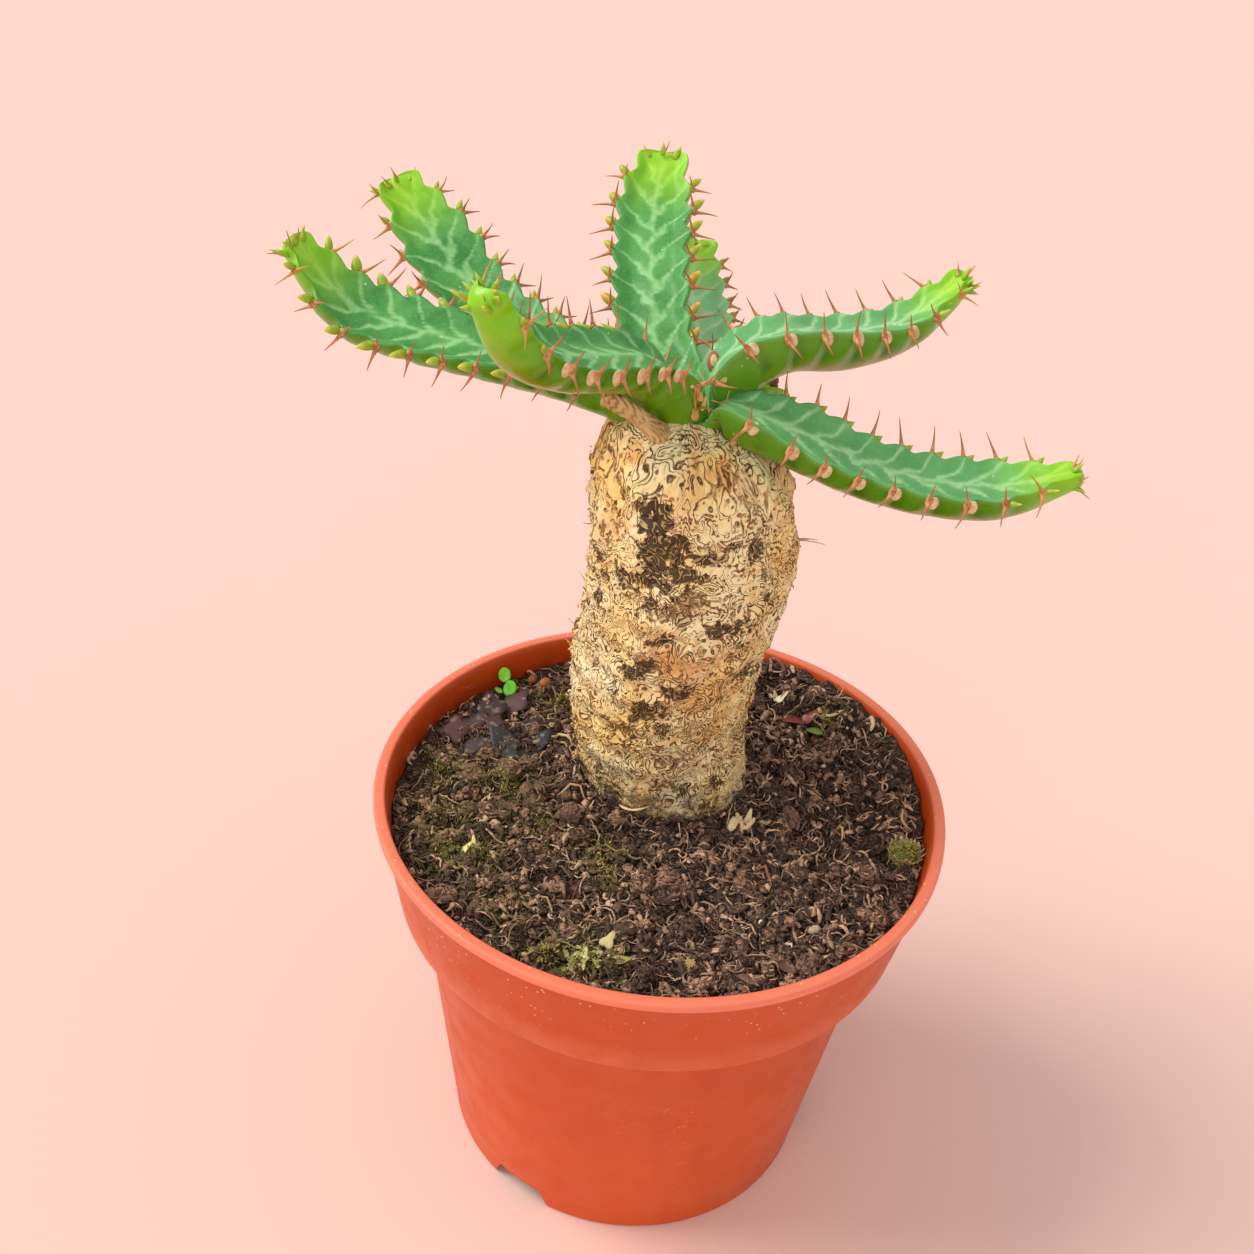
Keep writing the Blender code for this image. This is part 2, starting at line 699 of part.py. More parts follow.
def tip_leaf(stem, lean):
    """One of the small pointed leaves at a stem's tip, leaning to one side of it."""
    centre, along, across, normal = stem.frame(stem.length)
    root = centre + across * lean * 3.4 - normal * 1.2 + along * 0.6
    direction = along * 0.9 + across * lean + normal * (0.9 - abs(lean))
    return cone(root, direction, BUD_RADIUS, TIP_LEAF_LENGTH)


def growths(stem, chance):
    """Closed bodies of every spine pair, bud and tip leaf of a stem."""
    bodies = []
    for distance, hand in stem.teeth():
        bodies.append(spindle(*spine_pair(stem, distance, hand, chance)))
        bodies.append(bud(stem, distance, hand))
    bodies += [tip_leaf(stem, lean) for lean in (-0.5, 0.0, 0.5)]
    return bodies


def search_tree(shape):
    """A search tree over a body in millimetres, which frees the body."""
    tree = BVHTree.FromBMesh(shape)
    shape.free()
    return tree


def widened(shape):
    """A copy of a small body, larger by a third about its middle."""
    wide = shape.copy()
    middle = sum((vert.co for vert in wide.verts), Vector()) / len(wide.verts)
    for vert in wide.verts:
        vert.co = middle + (vert.co - middle) * 1.33
    return wide


def is_inside(tree, point):
    """Whether a point lies inside a closed body: a ray upward leaves it an odd number of times."""
    crossings = 0
    start = point.copy()
    upward = Vector((0.013, 0.007, 1.0)).normalized()
    while True:
        place = tree.ray_cast(start, upward)[0]
        if place is None:
            return crossings % 2 == 1
        crossings += 1
        start = place + upward * 1e-4


def is_free(shape, trees):
    """Whether a small closed body lies wholly outside the bodies of some search trees."""
    own = BVHTree.FromBMesh(shape)
    corner = next(iter(shape.verts)).co
    return not any(own.overlap(tree) or is_inside(tree, corner) for tree in trees)


def unite(item, shapes):
    """Fuse small closed bodies into an object with one union."""
    extras = bpy.data.collections.new("growths")
    bpy.context.scene.collection.children.link(extras)
    for shape in shapes:
        growth = make_object("growth", shape)
        bpy.context.scene.collection.objects.unlink(growth)
        extras.objects.link(growth)
    apply_boolean(item, "UNION", collection=extras, solver="MANIFOLD")
    remove_objects(list(extras.objects))
    bpy.data.collections.remove(extras)
    keep_largest_body(item)


def build_stems():
    """All stems, cut clear of the caudex and of each other where their necks crowd the crown."""
    green = make_material("stem_green", STEM_GREEN, 0.4)
    stems = {name: Stem(**row) for name, row in STEMS.items()}
    stem_trees = {name: search_tree(stem.body(SPARE)) for name, stem in stems.items()}
    fixed_trees = [search_tree(caudex_shape(SPARE)), search_tree(dry_stub_shape(SPARE))]
    chance = random.Random(SEED)
    built = []
    for name, stem in stems.items():
        item = make_object(name, stem.body(), green)
        cutters = [make_object("caudex_cutter", caudex_shape(CLEARANCE))]
        cutters.append(make_object("stub_cutter", dry_stub_shape(CLEARANCE)))
        cutters += [make_object("stem_cutter", other.body(CLEARANCE)) for other in built]
        for cutter in cutters:
            apply_boolean(item, "DIFFERENCE", cutter, solver="MANIFOLD")
        remove_objects(cutters)
        keep_largest_body(item)
        others = fixed_trees + [tree for other, tree in stem_trees.items() if other != name]
        kept = []
        for shape in growths(stem, chance):
            if is_free(shape, others):
                kept.append(shape)
            else:
                shape.free()
        fixed_trees += [search_tree(widened(shape)) for shape in kept]
        unite(item, kept)
        built.append(stem)


def main():
    clear_scene()
    build_pot()
    build_caudex()
    build_soil()
    build_stems()


main()
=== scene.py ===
"""Looks of the potted Euphorbia stellata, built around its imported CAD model.

Sizes are millimetres unless a name says otherwise, in the frame of the CAD model: the pot's base
is centred on the origin and rests on z = 0, and the front of the plant faces -Y.
"""
import math
import random
from itertools import combinations

import bpy
import numpy as np
from mathutils import Matrix, Vector
from mathutils.bvhtree import BVHTree


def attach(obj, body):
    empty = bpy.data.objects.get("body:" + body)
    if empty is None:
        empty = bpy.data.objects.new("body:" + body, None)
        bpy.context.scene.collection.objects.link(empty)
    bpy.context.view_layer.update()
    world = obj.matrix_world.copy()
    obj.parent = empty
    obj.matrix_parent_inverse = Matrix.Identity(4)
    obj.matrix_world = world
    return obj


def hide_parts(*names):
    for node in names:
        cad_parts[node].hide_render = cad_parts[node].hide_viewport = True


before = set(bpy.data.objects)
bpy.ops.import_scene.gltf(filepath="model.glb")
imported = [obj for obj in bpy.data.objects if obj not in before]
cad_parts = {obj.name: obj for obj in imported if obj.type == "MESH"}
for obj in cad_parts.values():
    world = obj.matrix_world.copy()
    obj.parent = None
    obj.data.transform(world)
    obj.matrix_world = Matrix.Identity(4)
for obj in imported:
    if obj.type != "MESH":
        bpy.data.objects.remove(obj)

MM = 0.001
SEED = 7
# Seeds of the loose things, and of the shapes of the crumbs and clods
SEEDS = {
    "curls": 31, "flakes": 35, "fibres": 61, "crumbs": 71, "crumb_shapes": 72, "clods": 75,
    "clod_shapes": 76, "moss": 81, "litter": 91,
}
UP = np.array([0.0, 0.0, 1.0])
FULL_TURN = 2.0 * math.pi
CLEARANCE = 0.3

# Shapes repeated from the CAD source
RIM_RADIUS = 60.0
POT_HEIGHT = 93.0
WALL = 1.2
BASE_RADIUS = 41.4
FOOT_LINE_HEIGHT = 6.0
FOOT_LINE_RADIUS = 42.2
COLLAR_BOTTOM = 69.0
COLLAR_BOTTOM_RADIUS = 54.9
COLLAR_TOP_RADIUS = 58.7
BODY_TOP_RADIUS = 50.2
STEP_INSIDE = 70.2
LIP_BOTTOM = 91.0
LIP_WIDTH = 2.4
BULGE_AZIMUTH = 42.0
BULGE_SPREAD = 60.0
BULGE_DEPTH = 2.4
NOTCH_AZIMUTHS = (237.0, 357.0, 117.0)
SOIL_HEIGHT = 85.6
SOIL_DISH = 1.7
SOIL_HEAP = 6.4
SOIL_HEAP_AZIMUTH = 52.0
SOIL_HEAP_SPREAD = 36.0
SOIL_CRUMB = 0.55
SOIL_LINE = 83.0
RELIEF_DEPTH = 0.9
SHOULDER_HEIGHT = 150.0
SHOULDER_TILT = 0.16
# Height, radius and centre x, y of the caudex
CAUDEX_PROFILE = (
    (53.0, 3.0, 0.0, 15.5), (58.0, 7.5, 0.0, 15.5), (66.0, 11.5, 0.0, 15.5), (76.0, 14.6, 0.2, 15.5),
    (84.0, 16.2, 0.3, 15.3), (91.5, 18.0, -0.4, 15.0), (99.5, 18.9, -1.0, 14.8), (115.5, 20.0, -1.2, 14.0),
    (131.0, 20.9, 0.7, 13.0), (145.5, 21.0, 0.9, 12.0), (157.0, 20.3, -0.4, 11.0), (164.5, 19.5, -0.6, 10.5),
    (169.8, 16.6, -0.7, 10.3), (173.6, 11.5, -0.8, 10.3), (176.0, 6.5, -0.8, 10.3),
)
TOOTH_HEIGHT = 1.7
TOOTH_APEX = 0.74
BARE_NECK = 9.0
CHANNEL_DEPTH = 1.1
SPINE_LENGTH = 5.0
SPINE_START = 7.0
UPPER_SPINE = (0.95, 0.30)
LOWER_SPINE = (-0.68, 0.54)
# Each station is x, y, z of the midline of a stem's upper face, half its width, the depth of
# its keel and its roll in degrees. The first tooth on each margin is given by its distance
# from the tip, with the pitch of the teeth behind it.
STEMS = {
    "stem_front_left": {
        "stations": (
            (-2.0, 9.5, 176.0, 4.6, 6.5, 3), (-5.4, 8.6, 184.4, 6.4, 10.5, 6),
            (-11.4, 4.4, 189.4, 7.1, 9.0, 8), (-18.1, -2.8, 192.1, 7.3, 7.8, 10),
            (-25.0, -10.3, 194.8, 7.2, 7.5, 11), (-31.2, -17.0, 199.9, 6.6, 7.0, 7),
            (-36.4, -22.6, 209.0, 3.6, 4.6, 0),
        ),
        "left": (5.4, 6.0), "right": (2.8, 5.6),
    },
    "stem_front_right": {
        "stations": (
            (0.8, 8.6, 176.5, 4.2, 5.0, 6), (3.6, 6.8, 180.6, 5.2, 7.0, 2), (10.6, 5.4, 179.4, 6.6, 8.0, -6),
            (21.1, 6.4, 175.3, 7.9, 8.2, -13), (32.5, 7.8, 170.5, 7.2, 8.2, -9),
            (45.0, 9.0, 167.6, 7.2, 8.0, -7), (57.6, 10.0, 167.6, 7.0, 7.6, -4),
            (70.4, 10.6, 170.8, 3.0, 4.0, 4),
        ),
        "left": (6.2, 6.4), "right": (6.8, 7.2),
    },
    "stem_right": {
        "stations": (
            (0.4, 11.6, 176.0, 4.0, 5.0, 10), (0.2, 11.6, 183.0, 5.4, 8.5, 20),
            (4.5, 14.1, 188.3, 6.6, 9.6, 20), (14.2, 19.4, 190.6, 7.7, 8.8, 10),
            (26.1, 26.3, 188.9, 7.3, 8.4, 9), (37.7, 33.3, 189.3, 5.5, 6.6, 5),
            (48.1, 39.6, 195.6, 2.8, 3.8, 2),
        ),
        "left": (5.8, 6.2), "right": (3.2, 7.1),
    },
    "stem_centre": {
        "stations": (
            (-2.2, 12.6, 176.2, 4.0, 5.0, 15), (-6.4, 17.4, 179.0, 6.4, 6.5, 15),
            (-10.3, 25.5, 183.2, 7.1, 7.0, 15), (-12.1, 35.3, 190.0, 7.4, 7.0, 18),
            (-12.8, 46.0, 195.7, 7.4, 7.0, 13), (-12.9, 57.0, 200.2, 7.2, 6.8, 9),
            (-12.1, 66.0, 205.8, 4.8, 4.6, 12),
        ),
        "left": (6.1, 6.5), "right": (7.3, 7.2),
    },
    "stem_left": {
        "stations": (
            (-4.4, 10.0, 175.5, 4.0, 4.5, 2), (-14.4, 10.7, 178.8, 6.0, 6.5, 3),
            (-26.7, 13.2, 181.6, 7.2, 7.0, 5), (-40.6, 16.1, 182.7, 7.5, 7.0, 10),
            (-54.5, 19.3, 183.4, 7.3, 7.0, 17), (-67.6, 22.5, 185.8, 7.1, 7.0, 18),
            (-78.4, 25.3, 195.2, 3.6, 4.2, 12),
        ),
        "left": (3.6, 6.5), "right": (4.9, 6.6),
    },
    "stem_back_left": {
        "stations": (
            (-3.4, 12.6, 175.5, 4.0, 4.5, 4), (-13.4, 16.2, 178.6, 6.0, 6.0, 6),
            (-25.1, 23.2, 178.9, 7.2, 7.0, 10), (-36.6, 32.8, 179.5, 7.3, 7.0, 16),
            (-47.5, 42.7, 182.6, 7.5, 7.0, 17), (-57.0, 51.9, 189.6, 7.4, 6.8, 27),
            (-65.9, 60.5, 197.0, 4.5, 4.6, 21),
        ),
        "left": (0.6, 7.5), "right": (5.6, 6.9),
    },
    "stem_back": {
        "stations": (
            (0.8, 14.0, 176.0, 4.0, 4.5, 0), (0.8, 21.0, 178.0, 6.0, 6.5, 0),
            (-0.5, 29.8, 179.4, 6.8, 7.0, 0), (-1.9, 39.4, 180.7, 7.1, 7.0, 1),
            (-3.0, 49.0, 182.1, 7.0, 7.0, -5), (-3.6, 58.2, 184.6, 6.0, 6.0, 0),
            (-3.1, 67.0, 188.0, 3.9, 4.2, -3),
        ),
        "left": (5.0, 6.4), "right": (5.6, 6.3),
    },
    "stem_stub": {
        "stations": (
            (2.6, 13.2, 176.2, 3.0, 3.0, 0), (6.4, 16.6, 178.6, 3.7, 4.0, 0),
            (10.2, 19.2, 178.8, 3.7, 4.0, 0), (13.4, 21.0, 177.4, 2.3, 2.6, 0),
        ),
        "left": (3.5, 5.5), "right": (5.5, 5.5),
    },
}

# Camera, fitted to the pot's rim, collar and base in the photograph
CAMERA_PLACE = (-10.3, -244.3, 298.1)
CAMERA_ELEVATION = 34.05
CAMERA_ROLL = 5.47
CAMERA_LENS = 43.06
SENSOR_WIDTH = 36.0


def linear(*channels):
    """Linear colour from 0 to 255 screen values."""
    values = []
    for channel in channels:
        share = channel / 255.0
        values.append(share / 12.92 if share <= 0.04045 else ((share + 0.055) / 1.055) ** 2.4)
    return (*values, 1.0)


def tint(colour, shade=1.0):
    """Linear colour without its fourth number, from screen values times a shade."""
    return linear(*[channel * shade for channel in colour])[:3]


def step_up(values, low, high):
    """Smooth rise from 0 at low to 1 at high."""
    part = np.clip((values - low) / (high - low), 0.0, 1.0)
    return part * part * (3.0 - 2.0 * part)


def unit(vectors):
    """Vectors brought to a length of 1."""
    return vectors / np.linalg.norm(vectors, axis=-1, keepdims=True)


def circle(steps):
    """Equally spaced angles round a full turn."""
    return 2.0 * np.pi * np.arange(steps) / steps


def compass(turn):
    """The level direction at an angle from +X, and the one to its left."""
    return np.array([math.cos(turn), math.sin(turn), 0.0]), np.array([-math.sin(turn), math.cos(turn), 0.0])


def any_turn(chance):
    """A random angle."""
    return chance.uniform(0.0, FULL_TURN)


def angle_from(middle, azimuth):
    """Azimuths counted from a middle one in degrees, between half a turn each way."""
    return (azimuth - math.radians(middle) + np.pi) % (2.0 * np.pi) - np.pi


# Materials

class Nodes:
    """A short way to write a material's nodes."""

    def __init__(self, name):
        self.material = bpy.data.materials.new(name)
        self.material.use_nodes = True
        self.tree = self.material.node_tree

    def put(self, socket, value):
        """Link or set a socket; a colour is three screen values or four linear ones."""
        if isinstance(value, bpy.types.NodeSocket):
            self.tree.links.new(value, socket)
        elif value is not None:
            is_screen = socket.type == "RGBA" and len(value) == 3
            socket.default_value = linear(*value) if is_screen else value

    def fill(self, node, values):
        for name, value in values.items():
            self.put(node.inputs[name.replace("_", " ")], value)

    def node(self, kind, output, settings=(), **inputs):
        """One output of a new node with some settings and inputs."""
        node = self.tree.nodes.new("ShaderNode" + kind)
        for name, value in dict(settings).items():
            setattr(node, name, value)
        self.fill(node, inputs)
        return node.outputs[output]

    def finish(self, **values):
        self.fill(self.tree.nodes["Principled BSDF"], values)
        return self.material

    def place(self):
        """Position in the object's own space, in metres."""
        return self.node("TexCoord", "Object")

    def value(self, name, output="Fac"):
        return self.node("Attribute", output, {"attribute_name": name})

    def stretched(self, *scale):
        return self.node("Mapping", "Vector", Vector=self.place(), Scale=scale)

    def noise(self, scale, detail=3.0, roughness=0.55, distortion=0.0, vector=None):
        return self.node(
            "TexNoise", "Fac", Vector=vector or self.place(), Scale=scale, Detail=detail,
            Roughness=roughness, Distortion=distortion,
        )

    def math(self, operation, *values):
        node = self.tree.nodes.new("ShaderNodeMath")
        node.operation = operation
        for socket, value in zip(node.inputs, values):
            self.put(socket, value)
        return node.outputs["Value"]

    def times(self, first, second):
        return self.math("MULTIPLY", first, second)

    def wave(self, field, rate):
        """Creases along the contour lines of a field."""
        return self.math("ABSOLUTE", self.math("SINE", self.times(field, rate)))

    def ramp(self, value, low, high, start=0.0, end=1.0):
        """A smooth change from start to end as the value goes from low to high."""
        return self.node(
            "MapRange", "Result", {"interpolation_type": "SMOOTHSTEP"}, Value=value,
            From_Min=low, From_Max=high, To_Min=start, To_Max=end,
        )

    def mottle(self, scale, detail, low, high, start=0.0, end=1.0, roughness=0.55):
        """Cloudy patches: a ramp over noise."""
        return self.ramp(self.noise(scale, detail, roughness), low, high, start, end)

    def specks(self, scale, low, high, start=1.0):
        """Small round marks round scattered points."""
        distance = self.node("TexVoronoi", "Distance", Vector=self.place(), Scale=scale)
        return self.ramp(distance, low, high, start, 0.0)

    def line(self, field, width, strength):
        """Thin lines where a noise crosses its middle."""
        gap = self.math("ABSOLUTE", self.math("SUBTRACT", field, 0.5))
        return self.ramp(gap, 0.0, width, strength, 0.0)

    def mix(self, share, first, second):
        node = self.tree.nodes.new("ShaderNodeMix")
        node.data_type = "RGBA"
        self.put(node.inputs["Factor"], share)
        colours = [socket for socket in node.inputs if socket.type == "RGBA"]
        for socket, value in zip(colours, (first, second)):
            self.put(socket, value)
        return next(socket for socket in node.outputs if socket.type == "RGBA")

    def layers(self, colour, *paints):
        """Lay paints over a colour, each as strong as its share."""
        for share, paint in paints:
            colour = self.mix(share, colour, paint)
        return colour

    def bumps(self, *rows):
        """A normal from heights, each with a strength and a distance in metres."""
        normal = None
        for height, strength, distance in rows:
            normal = self.node(
                "Bump", "Normal", Height=height, Strength=strength, Distance=distance, Normal=normal,
            )
        return normal


def plastic_material():
    """Terracotta-coloured plastic: faint mottling, scuffs, and pale specks on the rim."""
    n = Nodes("pot_plastic_look")
    high = n.value("high")
    streaks = n.noise(60.0, 4.0, 0.6, vector=n.stretched(1.0, 1.0, 0.18))
    scuffs = n.noise(220.0, 5.0, 0.7, vector=n.stretched(1.0, 1.0, 0.35))
    hairline = n.line(n.noise(55.0, 3.0, 0.5, 1.5, n.stretched(1.0, 1.0, 2.6)), 0.006, 1.0)
    specks = n.times(n.specks(620.0, 0.11, 0.17), n.mottle(110.0, 2.0, 0.47, 0.56))
    specks = n.times(specks, n.ramp(high, 0.35, 1.0, 0.06, 0.75))
    colour = n.layers(
        n.mix(n.mottle(14.0, 3.0, 0.3, 0.7, roughness=0.6), (203, 75, 9), (213, 85, 14)),
        (n.ramp(streaks, 0.45, 0.8, 0.0, 0.4), (186, 62, 22)),
        # Painted highlight: a mottled light band along the collar's lower edge and just under the lip
        (n.times(n.value("edge_highlight"), n.mottle(180.0, 3.0, 0.3, 0.6, 0.4, 1.0)), (240, 132, 92)),
        # Painted highlight on the rim's lip
        (n.times(n.value("rim"), 0.8), (250, 140, 112)),
        # Painted shade on the pot's inner wall
        (n.value("inside"), (160, 46, 18)),
        (n.times(n.ramp(scuffs, 0.64, 0.78, 0.0, 0.6), n.ramp(high, 0.0, 1.0, 0.35, 1.0)), (232, 132, 92)),
        (n.times(hairline, n.mottle(35.0, 2.0, 0.52, 0.66, 0.0, 0.4)), (240, 160, 124)),
        (specks, (250, 214, 200)),
        (n.times(n.value("dirt"), n.mottle(300.0, 4.0, 0.35, 0.62, roughness=0.7)), (52, 32, 22)),
    )
    rough = n.mottle(160.0, 4.0, 0.3, 0.75, 0.33, 0.5)
    normal = n.bumps(
        (n.noise(900.0), 0.12, 0.0002), (n.noise(26.0, 2.0), 0.25, 0.0012), (specks, 0.4, 0.0002),
    )
    return n.finish(Base_Color=colour, Roughness=rough, Normal=normal, Specular_IOR_Level=0.35)


def cork_material():
    """Cream cork with raised curls, brown strokes between them, dark flaked patches and stains."""
    n = Nodes("caudex_cork_look")
    tall = n.value("tall")
    dark = n.ramp(n.value("dark"), 0.25, 0.8)
    fine = n.noise(1500.0, 3.0, 0.6)
    rag = n.math("ADD", n.value("ridge"), n.ramp(fine, 0.2, 0.8, -0.22, 0.22))
    curls = n.times(n.noise(215.0, 1.0, 0.5, 1.5), n.math("SUBTRACT", 1.0, tall))
    strands = n.times(n.noise(240.0, 1.0, 0.5, 0.7, n.stretched(1.0, 1.0, 0.34)), tall)
    thick = n.math("ADD", n.mottle(150.0, 2.0, 0.36, 0.64, 0.16, 0.46), dark)
    near = n.math("DIVIDE", n.wave(n.math("ADD", curls, strands), 25.0), thick)
    breaks = n.math("MAXIMUM", n.mottle(420.0, 2.0, 0.43, 0.55, 0.05, 1.0), dark)
    strokes = n.times(n.ramp(near, 0.5, 1.0, 1.0, 0.0), breaks)
    pits = n.times(n.specks(430.0, 0.18, 0.26), n.mottle(120.0, 2.0, 0.42, 0.55))
    ink = n.mix(n.mottle(90.0, 2.0, 0.45, 0.6), (166, 108, 60), (108, 68, 38))
    colour = n.layers(
        n.mix(n.mottle(70.0, 4.0, 0.32, 0.68), (255, 244, 196), (255, 218, 138)),
        (n.mottle(170.0, 3.0, 0.5, 0.72, 0.0, 0.45), (238, 182, 106)),
        (n.times(n.value("stain"), 0.6), (224, 150, 72)),
        # Painted shade: darker tan in the hollows between the ridges
        (n.ramp(rag, 0.0, 0.5, 0.55, 0.0), (172, 120, 70)),
        # Painted shade: a soft tan halo beside the strokes that rounds the curls
        (n.ramp(near, 0.6, 2.4, 0.42, 0.0), (212, 152, 88)),
        (n.times(n.math("MAXIMUM", strokes, pits), 0.9), n.mix(dark, ink, (44, 29, 22))),
        (n.times(n.value("soiled"), n.mottle(260.0, 4.0, 0.3, 0.6, roughness=0.7)), (70, 54, 42)),
    )
    normal = n.bumps((fine, 0.3, 0.0003), (n.ramp(near, 0.0, 1.6), 1.0, 0.0009))
    return n.finish(Base_Color=colour, Roughness=0.8, Normal=normal, Specular_IOR_Level=0.25)


def stump_material():
    """Dry tan bark with brown creases along it."""
    n = Nodes("stump_look")
    grain = n.noise(900.0, 3.0, 0.6)
    rag = n.math("ADD", n.value("ridge"), n.ramp(grain, 0.2, 0.8, -0.4, 0.4))
    bark = n.mix(n.mottle(160.0, 3.0, 0.35, 0.65), (222, 188, 128), (190, 152, 96))
    colour = n.mix(n.ramp(rag, 0.2, 0.7, 0.6, 0.0), bark, (116, 80, 46))
    normal = n.bumps((grain, 0.5, 0.0004))
    return n.finish(Base_Color=colour, Roughness=0.75, Normal=normal, Specular_IOR_Level=0.25)


def stem_material():
    """Waxy skin: pale veins and darker cells above, glossy olive flanks, yellow-green tips."""
    n = Nodes("stem_skin_look")
    face = n.value("face")
    low = n.value("low")
    ragged = n.noise(420.0, 4.0, 0.6)
    broad = n.noise(95.0)
    strength = n.math("ADD", n.value("vein"), n.ramp(ragged, 0.25, 0.75, -0.2, 0.2))
    keel_lines = n.noise(120.0, 2.0, 0.5, 0.6, n.stretched(0.5, 0.5, 2.4))
    above = n.layers(
        n.mix(n.ramp(broad, 0.35, 0.65), (58, 138, 62), (84, 162, 78)),
        (n.specks(1500.0, 0.15, 0.5, 0.3), (112, 188, 112)),
        (n.ramp(strength, 0.12, 0.95, 0.0, 0.8), (156, 216, 146)),
        # Painted light that brightens the upper face of some stems lying in shade
        (n.value("pale"), n.mix(n.times(strength, 0.8), (150, 226, 160), (226, 255, 216))),
    )
    flank = n.layers(
        n.mix(low, (98, 150, 2), (150, 140, 0)),
        (n.mottle(130.0, 3.0, 0.4, 0.7, 0.0, 0.5), (120, 160, 6)),
        # Painted shade in the flank's valleys between the lobes
        (n.times(n.value("valley_shade"), n.ramp(broad, 0.3, 0.7, 0.5, 1.0)), (40, 104, 8)),
        # Painted sheen along the flank under the margin, strongest at the lobes
        (n.times(n.value("edge"), n.ramp(broad, 0.3, 0.7, 0.25, 0.7)), (76, 160, 40)),
        (n.times(n.line(keel_lines, 0.02, 0.2), low), (176, 190, 96)),
    )
    colour = n.layers(
        n.mix(face, flank, above),
        (n.value("tip"), n.mix(n.times(strength, 0.6), (136, 206, 26), (194, 236, 80))),
        (n.times(n.specks(430.0, 0.06, 0.11), n.ramp(broad, 0.52, 0.6, 0.0, 0.8)), (226, 236, 210)),
    )
    rough = n.math("ADD", n.ramp(ragged, 0.3, 0.7, 0.18, 0.32), n.times(face, 0.2))
    return n.finish(
        Base_Color=colour, Roughness=rough, Subsurface_Weight=0.1, Subsurface_Radius=(0.6, 1.0, 0.3),
        Normal=n.bumps((n.noise(1400.0, 2.0), 0.2, 0.0002), (n.noise(240.0), 0.3, 0.0005)),
        Subsurface_Scale=0.001, Specular_IOR_Level=0.4,
    )


def horn_material():
    """Tan horny spines and shields, redder and darker toward the points."""
    n = Nodes("spine_look")
    out = n.value("out")
    grain = n.noise(700.0)
    colour = n.layers(
        n.mix(n.ramp(grain, 0.35, 0.65), (184, 116, 70), (218, 162, 112)),
        (n.ramp(out, 0.15, 0.6), (190, 116, 72)),
        (n.ramp(out, 0.65, 1.0), (138, 76, 50)),
        (n.times(n.value("fresh"), 0.6), (220, 168, 76)),
    )
    return n.finish(Base_Color=colour, Roughness=0.45, Normal=n.bumps((grain, 0.3, 0.0002)))


def scar_material():
    """Dry cream skin of the scars that old leaves and buds leave."""
    n = Nodes("scar_look")
    grain = n.noise(900.0)
    colour = n.mix(n.ramp(grain, 0.3, 0.7), (238, 212, 164), (204, 164, 116))
    return n.finish(Base_Color=colour, Roughness=0.65, Normal=n.bumps((grain, 0.3, 0.0002)))


def bud_material():
    """Waxy buds and tip leaves: yellow-green, or ochre where they are old, with pale points."""
    n = Nodes("bud_look")
    grain = n.noise(500.0)
    mottled = n.ramp(grain, 0.3, 0.7)
    colour = n.layers(
        n.mix(mottled, (128, 176, 30), (166, 202, 52)),
        (n.value("fresh"), n.mix(mottled, (204, 142, 34), (178, 172, 44))),
        (n.ramp(n.value("out"), 0.6, 1.0), (222, 214, 92)),
    )
    return n.finish(Base_Color=colour, Roughness=0.35, Normal=n.bumps((grain, 0.25, 0.0002)))


def peat_material():
    """Dark peat that shows between the fibres."""
    n = Nodes("peat_look")
    fine = n.noise(900.0, 4.0, 0.7)
    crest = n.ramp(n.wave(n.noise(230.0, 1.0, 0.5, 1.5), 26.0), 0.3, 0.95)
    peat = n.layers(
        n.mix(n.ramp(fine, 0.3, 0.7), (88, 62, 48), (134, 100, 80)),
        (n.mottle(60.0, 4.0, 0.4, 0.7, 0.0, 0.5, 0.6), (80, 58, 44)),
        (n.times(n.value("moss"), 0.8), (112, 104, 48)),
    )
    # Painted shade: near-black along the troughs of the creases
    colour = n.mix(crest, (26, 17, 12), peat)
    normal = n.bumps((fine, 0.5, 0.0005), (crest, 1.0, 0.0009))
    return n.finish(Base_Color=colour, Roughness=0.85, Normal=normal)


def litter_material(name, dark, pale, creases=0.0):
    """Peat fibres and crumbs, each with a shade of its own from an attribute."""
    n = Nodes(name)
    grain = n.noise(1200.0, 3.0, 0.65)
    # Painted shade: darker lines along the troughs of the creases
    crease = n.ramp(n.wave(n.noise(300.0, 1.0, 0.5, 1.2), 24.0), 0.2, 0.6, creases, 0.0)
    colour = n.layers(
        n.mix(n.ramp(n.value("shade"), 0.0, 1.0), dark, pale),
        (n.ramp(grain, 0.42, 0.7, 0.0, 0.6), tuple(0.5 * channel for channel in dark)),
        (crease, tuple(0.45 * channel for channel in dark)),
        (n.times(n.value("moss"), n.mottle(300.0, 3.0, 0.4, 0.6, 0.0, 0.8)), (124, 118, 56)),
    )
    rows = [(grain, 0.6, 0.0004)]
    if creases:
        rows.append((crease, -1.0, 0.0006))
    return n.finish(Base_Color=colour, Roughness=0.6, Normal=n.bumps(*rows), Specular_IOR_Level=0.4)


def tinted_material():
    """Small found things, each with a colour of its own, mottled and streaked."""
    n = Nodes("found_look")
    own = n.value("tint", "Vector")
    grain = n.noise(800.0, 3.0, 0.6)
    colour = n.layers(
        own,
        (n.ramp(grain, 0.48, 0.75, 0.0, 0.45), n.mix(0.5, own, (0.02, 0.012, 0.008, 1.0))),
        (n.mottle(420.0, 2.0, 0.55, 0.7, 0.0, 0.6), n.mix(0.35, own, (0.9, 0.8, 0.6, 1.0))),
    )
    return n.finish(Base_Color=colour, Roughness=0.55, Normal=n.bumps((grain, 0.4, 0.0003)))


# Meshes

def write_values(mesh, values):
    """Give a mesh's points their numbers, or vectors, under some names."""
    for key, numbers in values.items():
        numbers = np.asarray(numbers, np.float32)
        kind, field = ("FLOAT", "value") if numbers.ndim == 1 else ("FLOAT_VECTOR", "vector")
        mesh.attributes.new(key, kind, "POINT").data.foreach_set(field, numbers.ravel())


def show(name, mesh):
    item = bpy.data.objects.new(name, mesh)
    bpy.context.scene.collection.objects.link(item)
    return item


